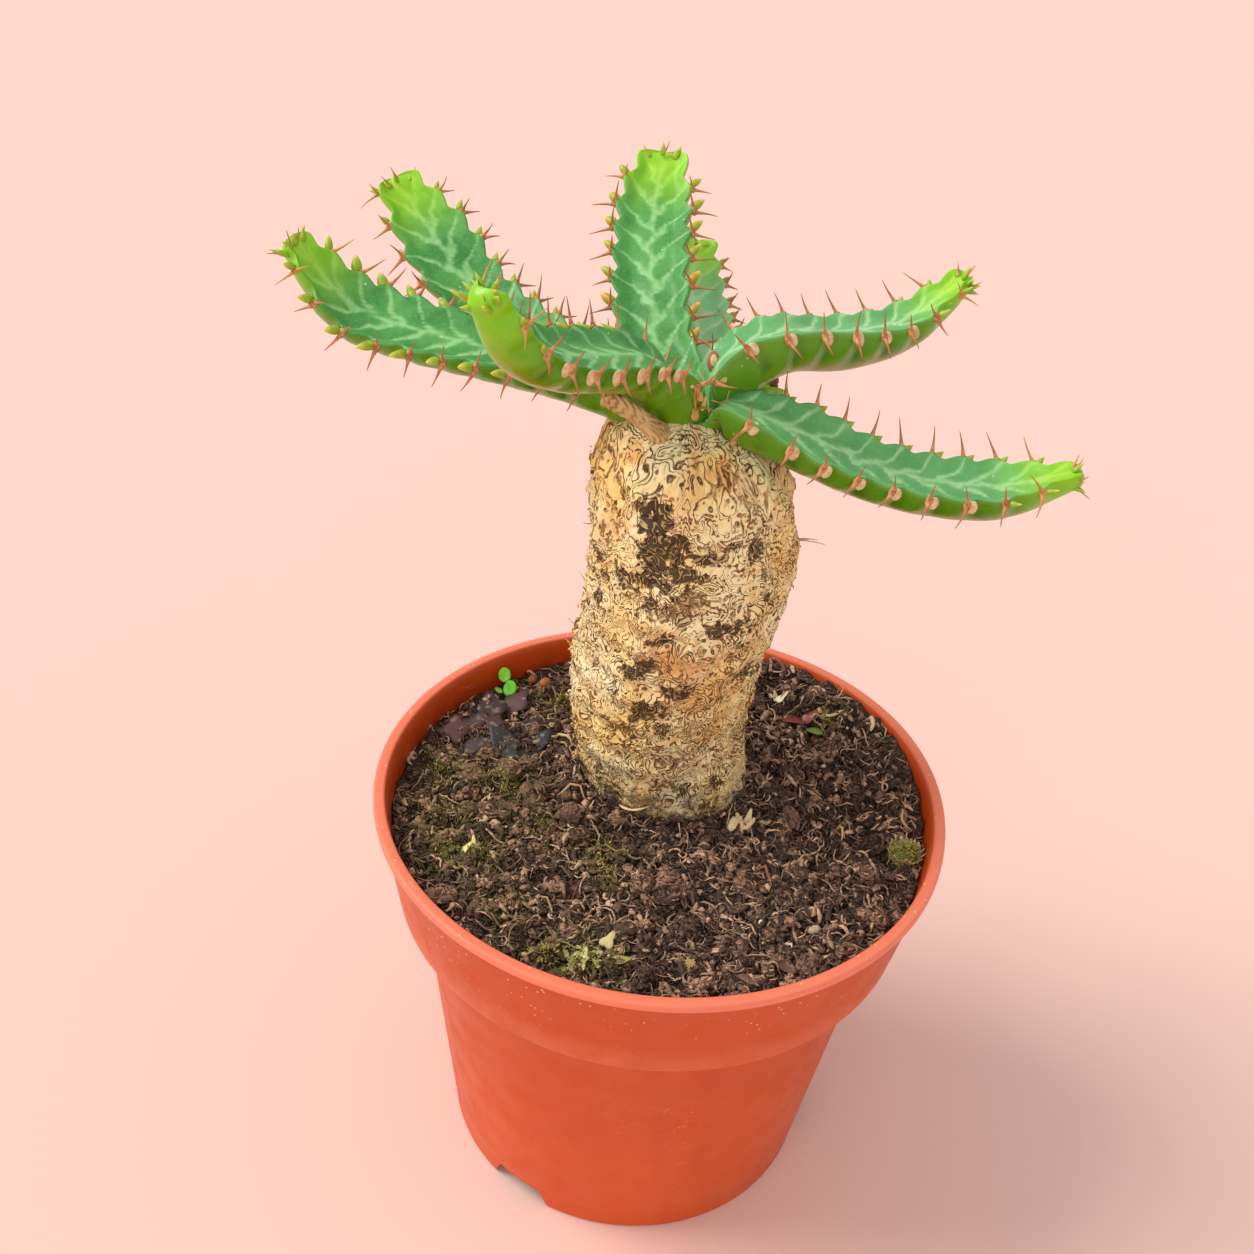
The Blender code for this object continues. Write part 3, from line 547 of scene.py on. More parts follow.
def make_piece(name, body, look, node=None, values=None, sharp=None):
    """A piece from points in millimetres and arrays of quads and triangles."""
    points, *groups = body[:3]
    mesh = bpy.data.meshes.new(name)
    mesh.vertices.add(len(points))
    mesh.vertices.foreach_set("co", (points * MM).astype(np.float32).ravel())
    groups = [np.asarray(group, np.int32) for group in groups if len(group)]
    corners = np.concatenate([group.ravel() for group in groups])
    sizes = np.concatenate([np.full(len(group), group.shape[1], np.int32) for group in groups])
    starts = np.concatenate([[0], np.cumsum(sizes)[:-1]]).astype(np.int32)
    mesh.loops.add(len(corners))
    mesh.loops.foreach_set("vertex_index", corners)
    mesh.polygons.add(len(sizes))
    mesh.polygons.foreach_set("loop_start", starts)
    mesh.polygons.foreach_set("loop_total", sizes)
    mesh.update(calc_edges=True)
    write_values(mesh, values or {})
    mesh.shade_smooth()
    if sharp:
        mesh.set_sharp_from_angle(angle=math.radians(sharp))
    mesh.materials.append(look)
    item = show(name, mesh)
    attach(item, "root")
    if node:
        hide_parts(node)
    return item


def closed_grid(grid):
    """Points, quads and triangles of a closed body: rings of points, and a point over each end."""
    grid = np.asarray(grid)
    rows, columns, _ = grid.shape
    points = np.concatenate([grid.reshape(-1, 3), [grid[0].mean(0)], [grid[-1].mean(0)]])
    row = np.arange(rows - 1)[:, None] * columns
    column = np.arange(columns)
    after = (column + 1) % columns
    quads = np.stack([row + column, row + after, row + columns + after, row + columns + column], axis=-1)
    last = (rows - 1) * columns
    count = rows * columns
    first_cap = np.stack([after, column, np.full(columns, count)], axis=-1)
    last_cap = np.stack([last + column, last + after, np.full(columns, count + 1)], axis=-1)
    return points, quads.reshape(-1, 4), np.concatenate([first_cap, last_cap])


def with_ends(field, first=0.0, last=0.0):
    """A grid's values in a row, followed by those of the points over its two ends."""
    return np.concatenate([field.ravel(), [first, last]])


class Heap:
    """Many small bodies gathered into one mesh."""

    def __init__(self):
        self.points = []
        self.faces = ([], [])
        self.values = {}
        self.count = 0

    def add(self, body, **values):
        points, *groups = body[:3]
        self.points.append(points)
        for faces, group in zip(self.faces, groups):
            if len(group):
                faces.append(np.asarray(group) + self.count)
        for key, value in values.items():
            size = (len(points), 3) if np.shape(value) == (3,) else (len(points),)
            self.values.setdefault(key, []).append(np.broadcast_to(np.asarray(value, float), size))
        self.count += len(points)

    def piece(self, name, look, slot, sharp=None):
        groups = [np.concatenate(faces) if faces else () for faces in self.faces]
        values = {key: np.concatenate(parts) for key, parts in self.values.items()}
        return make_piece(name, (np.concatenate(self.points), *groups), look, None, values, sharp)


def tube(path, radii, sides, flat=1.0, across=None):
    """A closed tube along a path, with each point's share of the way as its fourth part."""
    path = np.asarray(path, float)
    radii = np.asarray(radii, float)
    along = np.gradient(path, axis=0)
    along /= np.linalg.norm(along, axis=1, keepdims=True) + 1e-9
    guide = across
    if across is None:
        guide = np.array([0.13, 0.31, 0.94])
        if abs(along[0] @ guide) > 0.9:
            guide = np.array([0.9, 0.3, 0.1])
    side = np.cross(along, guide)
    side /= np.linalg.norm(side, axis=1, keepdims=True) + 1e-9
    other = np.cross(side, along)
    wide = np.cos(circle(sides)) * radii[:, None]
    thick = np.sin(circle(sides)) * radii[:, None] * flat
    grid = path[:, None, :] + side[:, None, :] * wide[..., None] + other[:, None, :] * thick[..., None]
    share = np.repeat(np.linspace(0.0, 1.0, len(path)), sides)
    return *closed_grid(grid), with_ends(share, 0.0, 1.0)


def ball(centre, axes, rows=7, sides=10, point=0.0):
    """An egg with three half axes, drawn out to a point at the third, and each point's share of it."""
    axes = np.asarray(axes, float)
    grid = []
    shares = []
    for index in range(1, rows):
        turn = math.pi * index / rows
        share = 0.5 - 0.5 * math.cos(turn)
        wide = math.sin(turn) * (1.0 - point * share ** 1.5)
        level = -math.cos(turn) + point * 0.6 * share ** 3
        around = np.cos(circle(sides))[:, None] * axes[0] + np.sin(circle(sides))[:, None] * axes[1]
        grid.append(centre + axes[2] * level + wide * around)
        shares += [share] * sides
    points, quads, triangles = closed_grid(grid)
    points[-2] = centre - axes[2]
    points[-1] = centre + axes[2] * (1.0 + point * 0.6)
    return points, quads, triangles, np.array(shares + [0.0, 1.0])


def smooth_rows(values, places):
    """A Catmull-Rom curve through equally spaced values, at an array of places."""
    values = np.asarray(values, float)
    if values.ndim == 1:
        values = values[:, None]
    index = np.minimum(places.astype(int), len(values) - 2)
    part = (places - index)[:, None]
    padded = np.concatenate([[2 * values[0] - values[1]], values, [2 * values[-1] - values[-2]]])
    before, first, second, after = (padded[index + shift] for shift in range(4))
    return 0.5 * (
        first * 2.0
        + (second - before) * part
        + (before * 2.0 - first * 5.0 + second * 4.0 - after) * part ** 2
        + (first * 3.0 - before - second * 3.0 + after) * part ** 3
    )


# Random fields that repeat at their edges. Unless told otherwise they have 512 x 512 cells.
FIELD_SIZE = 512
FIELD_CELL = 0.25


def squared_frequency(shape, cell, stretch=1.0):
    rows = np.fft.fftfreq(shape[0], cell)[:, None] * stretch
    columns = np.fft.fftfreq(shape[1], cell)[None, :]
    return rows ** 2 + columns ** 2


def fractal(wavelength, seed, sharpness=2.2, shape=(FIELD_SIZE, FIELD_SIZE), cell=FIELD_CELL):
    """A smooth random field, about -1 to 1, from filtered noise."""
    field = np.fft.fft2(np.random.default_rng(seed).normal(size=shape))
    reach = np.sqrt(squared_frequency(shape, cell)) * wavelength
    field *= 1.0 / (1.0 + reach ** 2) ** (sharpness / 2.0) * np.exp(-(reach / 6.0) ** 2)
    result = np.fft.ifft2(field).real
    result -= result.mean()
    return result / (2.0 * result.std())


def labyrinth(wavelength, stretch, seed, dots, steps=70, shape=(FIELD_SIZE, FIELD_SIZE), cell=FIELD_CELL):
    """A worm-like pattern of ridges of one spacing, grown from noise by a Swift-Hohenberg rule."""
    field = np.random.default_rng(seed).normal(0.0, 0.4, shape)
    pull = (1.0 - squared_frequency(shape, cell, stretch) * wavelength ** 2) ** 2
    step = 0.5
    for _ in range(steps):
        push = field + step * (0.75 * field + dots * field ** 2 - field ** 3)
        field = np.fft.ifft2(np.fft.fft2(push) / (1.0 + step * pull)).real
    return np.clip(field, -1.2, 1.2)


def sample(field, rows, columns):
    """Values of a repeating field between its cells, at fractional rows and columns."""
    row = np.floor(rows).astype(int)
    column = np.floor(columns).astype(int)
    down, right = rows - row, columns - column
    height, width = field.shape

    def along_row(shift):
        line = (row + shift) % height
        return field[line, column % width] * (1 - right) + field[line, (column + 1) % width] * right

    return along_row(0) * (1 - down) + along_row(1) * down


# Pot

BULGE_ABOVE = 1.2
POT_STEPS = 160
INSIDE_FLOOR = 1.6
NOTCH_OUTLINE = ((-8.0, -1.0), (8.0, -1.0), (5.6, 4.8), (-5.6, 4.8))
NOTCH_RADII = (BASE_RADIUS - 6.5, BASE_RADIUS + 6.0)
SHARP_ANGLE = 40.0


def bulge_factor(x, y, z):
    """How far the pot's wall is pushed out of round at some points."""
    away = (np.degrees(np.arctan2(y, x)) - BULGE_AZIMUTH) / BULGE_SPREAD
    share = np.cos(0.5 * np.pi * np.minimum(1.0, np.abs(away))) ** 2
    return 1.0 + share * BULGE_DEPTH / RIM_RADIUS * np.clip(z / POT_HEIGHT, 0.0, BULGE_ABOVE) ** 3


def bulged_ring(radius, height, steps):
    """A ring round the pot's axis, pushed out of round as the wall is."""
    x = radius * np.cos(circle(steps))
    y = radius * np.sin(circle(steps))
    height = np.broadcast_to(height, steps)
    factor = bulge_factor(x, y, height)
    return np.stack([x * factor, y * factor, height], axis=-1)


def inner_radius(height):
    """Radius of the inside of the pot's wall."""
    gain = COLLAR_TOP_RADIUS - COLLAR_BOTTOM_RADIUS
    high = COLLAR_BOTTOM_RADIUS - WALL + gain * (height - COLLAR_BOTTOM) / (POT_HEIGHT - COLLAR_BOTTOM)
    gain = BODY_TOP_RADIUS - FOOT_LINE_RADIUS
    low = FOOT_LINE_RADIUS - WALL + gain * (height - FOOT_LINE_HEIGHT) / (COLLAR_BOTTOM - FOOT_LINE_HEIGHT)
    return np.where(height >= STEP_INSIDE, high, low)


def rounded(corners):
    """A profile with each corner (radius, height, rounding) turned into a short arc."""
    points = [np.array(corners[0][:2])]
    for before, corner, after in zip(corners, corners[1:], corners[2:]):
        here = np.array(corner[:2])
        back = np.array(before[:2]) - here
        ahead = np.array(after[:2]) - here
        room = min(corner[2], 0.48 * np.linalg.norm(back), 0.48 * np.linalg.norm(ahead))
        first = here + back / np.linalg.norm(back) * room
        last = here + ahead / np.linalg.norm(ahead) * room
        for part in np.linspace(0.0, 1.0, 5):
            points.append(first * (1 - part) ** 2 + here * 2 * part * (1 - part) + last * part ** 2)
    points.append(np.array(corners[-1][:2]))
    return points


def build_pot(look):
    """The pot with rounded edges, its wall slightly out of round, and three drain notches."""
    profile = rounded([
        (0.5, 0.0, 0.1),
        (BASE_RADIUS, 0.0, 0.8),
        (FOOT_LINE_RADIUS - 0.25, FOOT_LINE_HEIGHT, 0.4),
        (FOOT_LINE_RADIUS, FOOT_LINE_HEIGHT + 0.7, 0.4),
        (46.2, 38.0, 4.0),
        (BODY_TOP_RADIUS, COLLAR_BOTTOM, 0.35),
        (COLLAR_BOTTOM_RADIUS, COLLAR_BOTTOM, 0.5),
        (56.8, 80.0, 3.0),
        (COLLAR_TOP_RADIUS, LIP_BOTTOM - 0.3, 0.4),
        (RIM_RADIUS, LIP_BOTTOM + 0.1, 0.5),
        (RIM_RADIUS, POT_HEIGHT, 0.7),
        (RIM_RADIUS - LIP_WIDTH, POT_HEIGHT, 0.5),
        (inner_radius(LIP_BOTTOM), LIP_BOTTOM, 0.5),
        (inner_radius(80.0), 80.0, 1.0),
        (inner_radius(STEP_INSIDE), STEP_INSIDE, 0.3),
        (inner_radius(STEP_INSIDE - 0.5), STEP_INSIDE - 0.5, 0.3),
        (inner_radius(3.0), 3.0, 1.0),
        (inner_radius(3.0) - 1.4, INSIDE_FLOOR, 0.6),
        (0.5, INSIDE_FLOOR, 0.1),
    ])
    rings = [bulged_ring(radius, height, POT_STEPS) for radius, height in profile]
    pot = make_piece("pot_shell", closed_grid(rings), look, "pot")
    for azimuth in NOTCH_AZIMUTHS:
        cutter = notch_cutter(math.radians(azimuth))
        modifier = pot.modifiers.new("notch", "BOOLEAN")
        modifier.object = cutter
        modifier.operation = "DIFFERENCE"
        modifier.solver = "EXACT"
        graph = bpy.context.evaluated_depsgraph_get()
        mesh = bpy.data.meshes.new_from_object(pot.evaluated_get(graph))
        pot.modifiers.clear()
        pot.data = mesh
        bpy.data.objects.remove(cutter, do_unlink=True)
    mesh.materials.clear()
    mesh.materials.append(look)
    places = np.zeros(len(mesh.vertices) * 3, np.float32)
    mesh.vertices.foreach_get("co", places)
    places = places.reshape(-1, 3) / MM
    height = places[:, 2]
    radius = np.hypot(places[:, 0], places[:, 1]) / bulge_factor(*places.T)
    inside = (radius < inner_radius(height) + 0.3) & (height > 1.0)
    # Painted highlight bands along the collar's lower edge and just under the lip
    lower_edge = np.exp(-((height - 69.3) / 0.5) ** 2) * (radius > COLLAR_BOTTOM_RADIUS - 0.5)
    under_lip = np.exp(-((height - 91.9) / 0.9) ** 2) * (radius > RIM_RADIUS - 0.35)
    write_values(mesh, {
        # Painted shade on the inner wall below the lip
        "inside": step_up(-height, -91.0, -87.0) * inside,
        # Painted highlight on the rim's lip
        "rim": step_up(height, 90.6, 91.6) * step_up(radius, RIM_RADIUS - 3.0, RIM_RADIUS - 1.6),
        "high": step_up(height, 60.0, 92.0) * ~inside,
        "dirt": step_up(-height, -89.5, -86.5) * inside,
        "edge_highlight": 0.4 * lower_edge + 0.5 * under_lip,
    })
    mesh.shade_smooth()
    mesh.set_sharp_from_angle(angle=math.radians(SHARP_ANGLE))


def notch_cutter(azimuth):
    """A wedge with sloping ends for one drain notch."""
    outward, along = compass(azimuth)
    grid = [
        [outward * radius + along * side + UP * rise for side, rise in NOTCH_OUTLINE]
        for radius in NOTCH_RADII
    ]
    points, quads, triangles = closed_grid(grid)
    mesh = bpy.data.meshes.new("notch")
    mesh.from_pydata((points * MM).tolist(), [], quads.tolist() + triangles.tolist())
    return show("notch", mesh)


# Caudex

# Azimuth in degrees, height, half sizes along the skin and upward, and strength of the dark patches
DARK_PATCHES = (
    (-110.0, 161.5, 3.0, 3.4, 1.0), (-104.0, 156.5, 4.6, 3.2, 1.0), (-108.0, 149.5, 4.4, 3.2, 1.0),
    (-92.0, 152.0, 4.0, 1.4, 0.9), (-80.0, 155.5, 5.0, 1.0, 0.8), (-65.0, 158.0, 4.0, 1.0, 0.7),
    (-150.0, 137.0, 1.6, 2.2, 0.9), (-128.0, 147.0, 3.0, 2.6, 0.8), (-98.0, 142.0, 4.6, 1.8, 0.6),
    (-90.0, 146.5, 3.0, 2.2, 0.6), (-76.0, 139.5, 2.6, 1.4, 0.9), (-113.0, 126.0, 2.4, 1.6, 0.8),
    (-86.0, 124.0, 2.2, 1.8, 0.8), (-99.0, 117.5, 3.6, 2.6, 0.9), (-93.0, 113.5, 3.0, 2.0, 0.7),
    (-118.0, 110.0, 3.0, 2.0, 0.6), (-82.0, 104.0, 3.2, 1.4, 0.6), (-60.0, 131.0, 2.0, 1.4, 0.5),
    (-45.0, 150.0, 2.2, 1.4, 0.5), (-128.0, 93.0, 5.0, 3.0, 0.6), (-80.0, 96.0, 4.0, 1.6, 0.6),
    (30.0, 150.0, 5.0, 4.0, 0.9), (85.0, 126.0, 6.0, 3.0, 0.8), (150.0, 146.0, 5.0, 4.0, 0.8),
    (120.0, 108.0, 4.0, 3.0, 0.7), (10.0, 118.0, 4.0, 3.0, 0.6), (190.0, 116.0, 3.0, 2.0, 0.6),
)
# The same of the warm brown stains
STAINS = (
    (-93.0, 131.0, 7.0, 4.0, 1.0), (-67.0, 111.0, 6.0, 3.0, 0.8), (-84.0, 120.0, 8.0, 3.0, 0.6),
    (-105.0, 135.0, 6.0, 3.0, 0.5), (60.0, 135.0, 7.0, 5.0, 0.8), (160.0, 120.0, 7.0, 5.0, 0.7),
    (-138.0, 170.0, 3.0, 1.6, 1.0), (-68.0, 171.0, 4.0, 1.6, 1.0),
)
# Height and how far the skin stands out there, on the left and on the right
LEFT_EDGE = (
    (84.0, 0.6), (95.0, -0.6), (105.0, 0.0), (120.0, -0.5), (128.0, -1.3), (165.0, -1.3), (172.0, -0.5),
)
RIGHT_EDGE = (
    (84.0, 0.8), (95.0, -0.6), (105.0, -1.5), (115.0, -1.7), (124.0, -1.9), (131.0, -1.8), (138.0, -1.0),
    (150.0, -0.4), (164.0, -0.6), (170.0, -1.6),
)
# The stump's centre line and radius as the photograph has them, from inside the caudex
STUMP_LINE = (
    (-4.4, 8.6, 168.6, 3.0), (-7.0, 3.6, 172.8, 2.5), (-9.0, 0.5, 176.1, 1.8), (-12.1, -0.2, 178.7, 1.5),
    (-15.7, -0.2, 181.0, 1.55), (-18.6, 0.0, 181.9, 1.3),
)
# Turn in degrees, level, length, rise and sideways bend of the thin rootlets
ROOTLETS = (
    (-4.0, 150.5, 6.2, -0.5, 1.0), (-8.0, 152.0, 3.4, 0.5, -0.6), (2.0, 149.4, 4.0, -0.1, 0.5),
    (186.0, 150.0, 2.2, 0.3, 0.4), (60.0, 140.0, 4.0, -0.4, 0.6), (120.0, 128.0, 3.4, -0.3, -0.5),
)
CAUDEX_LEVELS = np.array([row[0] for row in CAUDEX_PROFILE])
SKIN_RADIUS = 20.5
CORK_COLUMNS = 344
CORK_STEP = 0.45
# Heights of the cork's rings: coarse in the soil, fine above it, and closer over the top
CORK_LEVELS = np.concatenate([
    np.linspace(53.0, 80.0, 8)[:-1], np.arange(80.0, 171.0, CORK_STEP), np.linspace(171.0, 176.0, 12),
])
CURL_COUNT = 420
SHRED_COUNT = 150
FLAKE_COUNT = 34
ROOTLET_COLOUR = (176, 92, 60)
FOOT_SHRED_COLOUR = (240, 214, 166)
FOOT_SHRED_RADII = (0.1, 0.3, 0.5, 0.55, 0.4, 0.5, 0.45, 0.3, 0.1)
STUMP_RINGS = 60
STUMP_SIDES = 40


def patch_cover(patches, azimuth, level, edge):
    """Strength of some soft-edged ragged patches at points of the skin."""
    cover = np.zeros_like(level)
    for middle, height, wide, tall, strength in patches:
        turn = angle_from(middle, azimuth)
        reach = np.hypot(turn * SKIN_RADIUS / wide, (level - height) / tall) * 0.85
        cover = np.maximum(cover, strength * step_up(1.15 - reach + edge, 0.0, 0.5))
    return cover


def caudex_relief(azimuth, level):
    """The coarse net of ridges that the CAD model has."""
    fade = np.clip((level - SOIL_LINE) / 6.0, 0.0, 1.0)
    upright = np.sin(11.0 * azimuth + 1.6 * np.sin(0.23 * level))
    knots = np.sin(7.0 * azimuth - 0.55 * level) * np.sin(5.0 * azimuth + 0.42 * level)
    blend = np.clip((level - 135.0) / 30.0, 0.0, 1.0)
    return RELIEF_DEPTH * fade * (0.35 * upright + (1.2 - 0.9 * blend) * knots + 0.6 * blend * upright)


def outline_shift(azimuth, level):
    """The hollows and swellings of the two sides, and the broad foot at the front right."""
    left = np.interp(level, *zip(*LEFT_EDGE)) * np.maximum(-np.cos(azimuth), 0.0) ** 1.5
    right = np.interp(level, *zip(*RIGHT_EDGE)) * np.maximum(np.cos(azimuth), 0.0) ** 1.5
    foot = 2.4 * np.exp(-(angle_from(-42.0, azimuth) / 0.55) ** 2) * step_up(-level, -98.0, -87.0)
    return left + right + foot


def caudex_rings(levels):
    """Radius and centre of the caudex without its relief, at some levels."""
    places = np.interp(levels, CAUDEX_LEVELS, np.arange(len(CAUDEX_LEVELS)))
    rows = smooth_rows([row[1:] for row in CAUDEX_PROFILE], places)
    return rows[:, 0], rows[:, 1:]


def squared(azimuth):
    """How far the caudex's rings are from round."""
    return 1.0 + 0.025 * np.cos(4.0 * azimuth)


def shoulder_tilt(level):
    return SHOULDER_TILT * np.clip((level - SHOULDER_HEIGHT) / 20.0, 0.0, 1.0)


def build_caudex(look):
    """The caudex with a labyrinth of cork ridges, deep creases and flaked dark patches."""
    radius, centre = caudex_rings(CORK_LEVELS)
    azimuth, level = np.meshgrid(circle(CORK_COLUMNS), CORK_LEVELS)
    row = (level - 50.0) / FIELD_CELL
    column = azimuth / (2.0 * np.pi) * FIELD_SIZE
    push_x = sample(fractal(5.0, 21), row, column)
    push_y = sample(fractal(5.0, 22), row, column)
    kind = sample(fractal(14.0, 23), row, column)
    rough = fractal(3.0, 24, 1.6)
    broad = fractal(12.0, 25)
    left_strip = np.exp(-((azimuth - math.radians(200.0)) / 0.5) ** 2)
    tall = step_up(level + 7.0 * kind + 10.0 * left_strip, 157.0, 167.0)
    warped = (row + 3.0 * push_y, column + 3.0 * push_x)
    fine = step_up(kind, 0.0, 0.5)
    pattern = sample(labyrinth(1.6, 1.0, 11, 0.5), *warped) * (1 - fine)
    pattern = pattern + sample(labyrinth(1.15, 1.0, 12, 0.8), *warped) * fine
    strands = sample(labyrinth(1.35, 3.6, 13, 0.2), row + 5.0 * push_y, column + 3.0 * push_x)
    pattern = pattern * (1 - tall) + strands * tall
    grit = sample(rough, row * 2.0, column * 2.0)
    pattern = pattern + 0.45 * grit
    ridge = step_up(pattern + 0.18 * (1.0 - tall), -1.0, -0.1)
    edge = 0.55 * sample(rough, row, column) + 0.3 * sample(rough, row * 0.5 + 40, column * 0.5)
    dark = patch_cover(DARK_PATCHES, azimuth, level, edge)
    scattered = step_up(sample(broad, row + 90, column) + 0.35 * grit, 0.55, 0.85) * 0.8
    dark = np.maximum(dark, scattered * (1 - tall))
    stain = patch_cover(STAINS, azimuth, level, edge)
    stain = np.maximum(stain, 0.55 * step_up(sample(broad, row, column + 200), 0.2, 0.8))
    depth = (0.45 - 0.15 * tall) * (ridge - 0.8) + 0.22 * grit - 0.4 * dark * (1.0 - 0.6 * ridge)
    depth = depth + 0.3 * sample(broad, row + 300, column)
    thin = np.minimum(1.0, radius / 12.0)[:, None]
    reach = radius[:, None] * squared(azimuth)
    reach = reach + (0.5 * caudex_relief(azimuth, level) + outline_shift(azimuth, level)) * thin
    reach = reach + depth * step_up(level, 80.0, 86.0) * thin
    x = reach * np.cos(azimuth)
    y = reach * np.sin(azimuth)
    z = level - shoulder_tilt(level) * x + 0.5 * depth * step_up(level, 166.0, 174.0)
    grid = np.stack([centre[:, :1] + x, centre[:, 1:] + y, z], axis=-1)
    left_foot = np.maximum(-np.cos(azimuth - 0.5), 0.0)
    soiled = 0.95 * step_up(-level - 5.0 * edge, -95.0 - 5.0 * left_foot, -87.0)
    # ridge also sets the painted shade in the cork's hollows
    values = {
        "ridge": with_ends(ridge, 0.5, 0.5), "tall": with_ends(tall, 0.0, 1.0), "dark": with_ends(dark),
        "stain": with_ends(stain), "soiled": with_ends(soiled, 1.0),
    }
    make_piece("caudex_cork", closed_grid(grid), look, "caudex", values)


def skin_point(azimuth, level, out):
    """A point a little out of the caudex's skin, and the directions outward and sideways there."""
    radius, centre = caudex_rings([level])
    reach = radius[0] * squared(azimuth) + caudex_relief(azimuth, level) + outline_shift(azimuth, level) + out
    outward, side = compass(azimuth)
    point = np.array([*centre[0], level]) + outward * reach
    point[2] -= shoulder_tilt(level) * outward[0] * reach
    return point, outward, side


def cork_values(chance, ridge, stain):
    """Attributes of a loose shred of cork, drawn between a low and the highest value."""
    ridge = chance.uniform(ridge, 1.0)
    return {"ridge": ridge, "stain": chance.uniform(0.0, stain)}


def build_cork_curls(look):
    """Loose curls and shreds of cork that stand out from the skin."""
    chance = random.Random(SEEDS["curls"])
    heap = Heap()
    for _ in range(CURL_COUNT):
        azimuth = any_turn(chance)
        level = chance.uniform(86.0, 166.0)
        point, outward, side = skin_point(azimuth, level, chance.uniform(-0.15, 0.15))
        radius = chance.uniform(0.35, 0.95)
        start = any_turn(chance)
        turn = chance.uniform(1.8, 5.0) * chance.choice((-1.0, 1.0))
        stretch = chance.uniform(0.7, 1.4) * (1.9 if level > 155.0 else 1.0)
        path = []
        for part in np.linspace(0.0, 1.0, 8):
            angle = start + turn * part
            curl = side * math.cos(angle) + UP * stretch * math.sin(angle)
            lift = outward * 0.18 * math.sin(math.pi * part)
            path.append(point + curl * radius * (1.0 - 0.5 * part) + lift)
        widths = chance.uniform(0.13, 0.24) * np.sin(np.pi * np.linspace(0.15, 0.9, 8)) ** 0.5
        heap.add(tube(path, widths, 4, 0.9), **cork_values(chance, 0.75, 0.4))
    for index in range(SHRED_COUNT):
        azimuth = chance.uniform(2.7, 3.9) if index % 2 else chance.uniform(0.0, 6.28)
        point, outward, side = skin_point(azimuth, chance.uniform(86.0, 168.0), -0.1)
        lean = side * chance.uniform(-0.7, 0.7) + UP * chance.uniform(-1.0, 0.8)
        length = chance.uniform(0.6, 1.8)
        bow = chance.uniform(0.25, 0.7)
        path = [
            point + (outward * bow * math.sin(2.0 * part) + lean * part) * length
            for part in np.linspace(0.0, 1.0, 5)
        ]
        widths = np.linspace(0.40, 0.06, 5) * chance.uniform(0.5, 1.1)
        heap.add(tube(path, widths, 5, 0.35), **cork_values(chance, 0.5, 0.6))
    heap.piece("caudex_curls", look, "caudex_cork")


def build_caudex_flakes(look):
    """Peeling flakes on the caudex's left."""
    chance = random.Random(SEEDS["flakes"])
    heap = Heap()
    for _ in range(FLAKE_COUNT):
        azimuth = math.radians(chance.uniform(160.0, 215.0))
        point, outward, side = skin_point(azimuth, chance.uniform(90.0, 140.0), -0.2)
        length = chance.uniform(1.2, 3.2)
        lean = side * chance.uniform(-0.4, 0.4) + UP * chance.choice((-1.0, -0.8, 0.9))
        path = [
            point + (outward * 0.55 * part ** 1.5 + lean * part) * length
            for part in np.linspace(0.0, 1.0, 5)
        ]
        widths = np.array([0.55, 0.6, 0.45, 0.3, 0.06]) * chance.uniform(0.6, 1.1)
        heap.add(tube(path, widths, 6, 0.22, outward), **cork_values(chance, 0.6, 0.5))
    heap.piece("caudex_flakes", look, "caudex_cork")


def build_rootlets(look):
    """Thin rootlets on the caudex's sides and a pale shred at its foot."""
    threads = Heap()
    for turn, level, length, rise, bend in ROOTLETS:
        point, outward, side = skin_point(math.radians(turn), level, -0.2)
        path = []
        for part in np.linspace(0.0, 1.0, 8):
            aside = side * bend * math.sin(2.5 * part) + UP * rise * part * (2.0 - part)
            path.append(point + outward * length * part + aside)
        threads.add(tube(path, np.linspace(0.14, 0.05, 8), 5), tint=tint(ROOTLET_COLOUR))
    path = []
    for part in np.linspace(0.0, 1.0, len(FOOT_SHRED_RADII)):
        azimuth = math.radians(-121.0 + 27.0 * part)
        path.append(skin_point(azimuth, 87.0 + 3.2 * part, 0.15 + 0.9 * math.sin(3.0 * part))[0])
    threads.add(tube(path, FOOT_SHRED_RADII, 6, 0.5), tint=tint(FOOT_SHRED_COLOUR))
    threads.piece("caudex_rootlets", look, "caudex_cork")


def build_stump(look):
    """The dried stump with net-like bark and a flaky end."""
    rows = np.linspace(0.0, len(STUMP_LINE) - 1.0, STUMP_RINGS)
    line = smooth_rows(STUMP_LINE, rows)
    path, radii = line[:, :3], line[:, 3:]
    along = unit(np.gradient(path, axis=0))
    side = unit(np.cross(along, np.array([0.0, 1.0, 0.0])))
    other = np.cross(along, side)
    angle, row = np.meshgrid(circle(STUMP_SIDES), rows)
    field = labyrinth(0.75, 2.4, 41, 0.1, shape=(256, 128), cell=0.1)
    ridge = 0.25 + 0.75 * step_up(sample(field, row * 44.0, angle / (2.0 * np.pi) * 128.0), -0.9, 0.3)
    reach = radii * (1.0 + 0.1 * np.sin(3.0 * angle + 1.6 * row)) + 0.4 * (ridge - 0.6)
    reach[-1] *= 0.7
    grid = path[:, None, :] + side[:, None, :] * (np.cos(angle) * reach)[..., None]
    grid = grid + other[:, None, :] * (np.sin(angle) * reach)[..., None]
    values = {"ridge": with_ends(ridge, 0.5, 0.5)}
    make_piece("stump_bark", closed_grid(grid), look, "caudex", values)


# Stems

